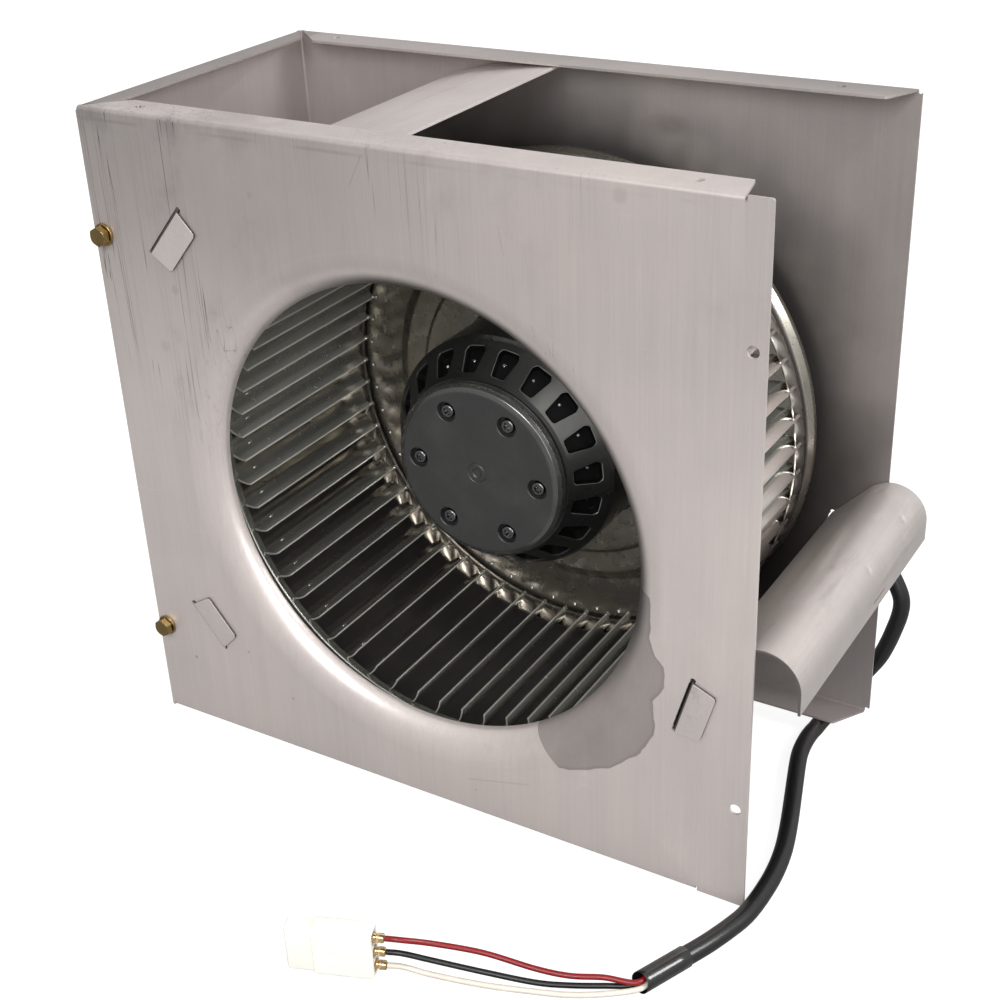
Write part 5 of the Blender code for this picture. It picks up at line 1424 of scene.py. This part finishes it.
def build_sleeve(segments=48):
    """Thin tube over the cable's end, its far end cut at a slant."""
    cut = (EXIT_DIR + Vector((0.25, 0.35, 0.35)) * 0.5).normalized()
    across = EXIT_DIR.orthogonal().normalized()
    up = EXIT_DIR.cross(across)
    inner, far_end = SLEEVE_R - 0.25, 21.9
    # Distance along the sleeve, radius, whether the ring is slanted.
    stations = (
        (0.25, inner, False), (0.0, inner + 0.1, False), (0.25, SLEEVE_R, False),
        (5.0, SLEEVE_R, False), (12.0, SLEEVE_R, False), (19.0, SLEEVE_R, False),
        (21.7, SLEEVE_R, True), (far_end, SLEEVE_R - 0.1, True), (21.7, inner, True),
        (19.0, inner, False), (12.0, inner, False), (5.0, inner, False))
    mesh = bmesh.new()
    rings = []
    for distance, radius, slanted in stations:
        centre = SLEEVE_START + EXIT_DIR * distance
        ring = []
        for q in ring_about(centre, across, up, radius, segments):
            if slanted:
                q = q - EXIT_DIR * ((q - centre).dot(cut) / EXIT_DIR.dot(cut))
                over = (q - SLEEVE_START).dot(EXIT_DIR) - far_end
                if over > 0:
                    q = q - EXIT_DIR * over * 0.75
            ring.append(mesh.verts.new(metres(*q)))
        rings.append(ring)
    for near, far in zip(rings, rings[1:] + rings[:1]):
        for i in range(segments):
            j = (i + 1) % segments
            mesh.faces.new((near[i], near[j], far[j], far[i]))
    piece("end_sleeve_tube", smooth(mesh_of(mesh, "sleeve"), 50), "sleeve", "sleeve_black",
          "cable_end_sleeve")


def plug_loop(along, section):
    """A section of (across, up) points placed along the plug."""
    return [tuple(PLUG_CENTRE + PLUG_ALONG * along + PLUG_ACROSS * v + UP * w)
            for v, w in section]


def plug_box(mesh, along, across, up, radius):
    """Box in the plug's axes; along, across and up are (low, high) pairs."""
    section = rounded(rectangle(*across, *up), radius, 3)
    loft(mesh, [plug_loop(u, section) for u in along])


def build_plug():
    end, thick, wide = PLUG_LENGTH / 2, PLUG_THICKNESS / 2, PLUG_WIDTH / 2
    # Full section, then a step to a slimmer mating end: along, half thickness, half width.
    stations = (
        (end, thick - 0.35, wide - 0.35), (end - 0.35, thick, wide), (-5.6, thick, wide),
        (-6.0, thick - 0.35, wide - 0.1), (-6.2, thick - 1.0, wide - 0.2),
        (-end + 0.5, thick - 1.0, wide - 0.2), (-end, thick - 1.5, wide - 0.7))
    body = loft(bmesh.new(), [plug_loop(u, rounded(rectangle(-v, v, -w, w), 0.8, 4))
                              for u, v, w in stations])
    ways, grooves = bmesh.new(), bmesh.new()
    for way in (-1, 0, 1):
        w = way * WAY_PITCH
        plug_box(ways, (end - 8.0, end + 2.0), (-2.6, 2.6), (w - 2.5, w + 2.5), 0.7)
        plug_box(ways, (-end - 2.0, -end + 9.0), (-2.0, 2.0), (w - 2.2, w + 2.2), 0.6)
    # Shallow grooves between the ways and a small window over each way, on both faces.
    for side in (-1, 1):
        face = side * thick
        for w in (-WAY_PITCH / 2, WAY_PITCH / 2):
            plug_box(grooves, (-5.0, end + 2.0), (face - 0.5, face + 0.5),
                     (w - 0.45, w + 0.45), 0.1)
        middle = side * (thick - 0.45)
        for way in (-1, 0, 1):
            w = way * WAY_PITCH
            plug_box(grooves, (0.5, 3.5), (middle - 0.45, middle + 0.75),
                     (w - 1.1, w + 1.1), 0.3)
    ways = mesh_of(ways, "ways")
    data = bake(mesh_of(body, "plug"), cutters=[ways, mesh_of(grooves, "grooves")], angle=30)
    piece("plug_moulded", data, "nylon", "plug_nylon", "connector_housing")


# Crimp barrel: distance along the plug, scale of its section; two bites between.
CRIMP_STATIONS = (
    (-5.0, 0.80), (-4.6, 0.92), (-1.4, 0.92), (-1.0, 0.78), (-0.2, 0.78), (0.2, 0.90),
    (1.6, 0.96), (1.9, 0.80), (2.2, 0.80), (2.5, 0.98), (4.6, 0.98), (5.0, 0.88))


def squared(value):
    """Pushes a sine or cosine outward, for a squarish circle."""
    return math.copysign(abs(value) ** 0.75, value)


def build_terminal(name, base, sides=28):
    """Rolled crimp barrel with a valley along its top."""
    middle = base - PLUG_ALONG * 1.2
    loops = []
    for along, scale in CRIMP_STATIONS:
        loop = []
        for i in range(sides):
            angle = 2 * math.pi * i / sides
            cos, sin = math.cos(angle), math.sin(angle)
            across, up = 1.55 * scale * squared(cos), 1.75 * scale * squared(sin)
            if sin > 0.6:
                up -= 0.5 * math.exp(-(cos * 3.2) ** 2)
            loop.append(tuple(middle + PLUG_ALONG * along + PLUG_ACROSS * across + UP * up))
        loops.append(loop)
    piece("terminal_%s_crimp" % name, smooth(mesh_of(loft(bmesh.new(), loops), "ter"), 45),
          "terminal", "terminal_brass", "terminal_" + name)


def build_wires():
    side = Vector((-EXIT_DIR.y, EXIT_DIR.x, 0)).normalized()
    for name, way, (sideways, rise), path in WIRES:
        base = PLUG_END + UP * (way * WAY_PITCH)
        build_terminal(name, base)
        offset = side * sideways + UP * rise
        tip = base + PLUG_ALONG * (3.8 + GAP)
        controls = [SLEEVE_END - EXIT_DIR * 5.0 + offset, SLEEVE_END + EXIT_DIR * 2.0 + offset,
                    *path, tip + PLUG_ALONG * 6.0, tip]
        wire = sweep(spline(controls, 12), WIRE_R, 24, chamfer=0.12)
        piece("%s_wire_lead" % name, smooth(mesh_of(wire, "wire"), 50), name,
              "wire_" + name, name + "_wire")


# ---------------------------------------------------------------- kept CAD nodes
def dress_cad():
    """Gives the CAD pieces that stay their materials."""
    bearings = ["bearing_%s_%s" % (end, part) for end in ("front", "rear")
                for part in ("outer", "inner", "ball_cage")]
    for key, names in (
            ("zinc", ["side_nut_upper", "side_nut_lower"]),
            ("steel", ["motor_shaft", "shaft_circlip", "preload_washer"] + bearings),
            ("diecast", ["motor_flange"]),
            ("lamination", ["stator_core", "rotor_core"]),
            ("copper", ["winding_front", "winding_rear"])):
        for name in names:
            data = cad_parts[name].data
            data.materials.clear()
            data.materials.append(MATERIALS[key])


# ---------------------------------------------------------------- stage, in metres
def build_floor():
    """Floor that falls towards the back; it shows nearly white to the camera."""
    half, slope, height = 4.0, 8.0 / 140.0, -0.1369
    mesh = bmesh.new()
    mesh.faces.new([mesh.verts.new(Vector((x, y, height - slope * y)) + ORIGIN)
                    for x, y in rectangle(-half, half, -half, half)])
    data = mesh_of(mesh, "floor")
    floor = add_object("floor", data)
    mat = Material("studio_floor")
    cloud = mat.noise(scale=3.0)
    seen = mat.node("LightPath", out="Is Camera Ray")
    data.materials.append(mat.surface(
        base_color=mat.tinted((1.0, 1.0, 1.0, 1.0), 0.26 + cloud * 0.02), roughness=0.7,
        specular_ior_level=0.1, emission_color=(1, 1, 1, 1), emission_strength=seen * 0.88))


def build_world():
    """White to the camera; as light, a soft dome brightest overhead and to the right."""
    world = bpy.data.worlds.new("studio")
    bpy.context.scene.world = world
    world.use_nodes = True
    nodes, link = world.node_tree.nodes, world.node_tree.links.new
    nodes.clear()
    output, light, seen, mix, path, coords, facing, strength = (
        nodes.new("ShaderNode" + kind)
        for kind in ("OutputWorld", "Background", "Background", "MixShader", "LightPath",
                     "TexCoord", "VectorMath", "MapRange"))
    facing.operation = 'DOT_PRODUCT'
    facing.inputs[1].default_value = (0.45, -0.15, 0.88)
    # From -0.7..1.0 of facing to 0.05..1.05 of strength.
    for i, value in enumerate((-0.7, 1.0, 0.05, 1.05), start=1):
        strength.inputs[i].default_value = value
    light.inputs["Color"].default_value = (1.0, 0.995, 0.985, 1.0)
    seen.inputs["Color"].default_value = (1, 1, 1, 1)
    seen.inputs["Strength"].default_value = 1.0
    link(coords.outputs["Generated"], facing.inputs[0])
    link(facing.outputs["Value"], strength.inputs[0])
    link(strength.outputs[0], light.inputs["Strength"])
    link(path.outputs["Is Camera Ray"], mix.inputs[0])
    link(light.outputs[0], mix.inputs[1])
    link(seen.outputs[0], mix.inputs[2])
    link(mix.outputs[0], output.inputs[0])


def area_light(name, place, target, width, height, power):
    lamp = bpy.data.lights.new(name, 'AREA')
    lamp.shape, lamp.size, lamp.size_y, lamp.energy = 'RECTANGLE', width, height, power
    ob = add_object(name, lamp)
    ob.location = Vector(place) + ORIGIN
    aim = Vector(target) - Vector(place)
    ob.rotation_euler = aim.to_track_quat('-Z', 'Y').to_euler()


def build_camera():
    camera = bpy.data.cameras.new("view")
    camera.sensor_width, camera.lens, camera.clip_start = 36.0, 57.37, 0.01
    ob = bpy.data.objects.new("view", camera)
    right = Vector((0.858708, 0.511015, -0.038525))
    up = Vector((-0.213433, 0.424971, 0.879685))
    backward = Vector((0.465904, -0.74717, 0.473994))
    place = Vector((0.3074993, -0.5683080, 0.2926034)) + ORIGIN
    turn = Matrix((right, up, backward)).transposed().to_4x4()
    ob.matrix_world = Matrix.Translation(place) @ turn
    bpy.context.scene.collection.objects.link(ob)
    bpy.context.scene.camera = ob


MATERIALS = build_materials()
build_front_plate()
build_back_side()
build_scroll()
build_side_screws()
build_motor_screws()
build_blade_crimps()
build_blade_cage()
build_hub_disc()
build_bell()
build_cap_screws()
build_cap()
build_cable()
build_grommet()
build_sleeve()
build_plug()
build_wires()
dress_cad()
build_floor()
build_world()
area_light("key", (0.32, -1.39, 0.88), target=(0.0, -0.12, 0.0),
           width=0.8, height=0.6, power=15.0)
area_light("front_right", (0.82, -0.86, 0.30), target=(0.0, -0.10, -0.02),
           width=0.5, height=0.6, power=3.0)
area_light("right_fill", (1.2, 0.1, 0.8), target=(0.1, -0.05, 0.0),
           width=0.4, height=0.6, power=11.0)
build_camera()
bpy.context.scene.view_settings.view_transform = 'Standard'
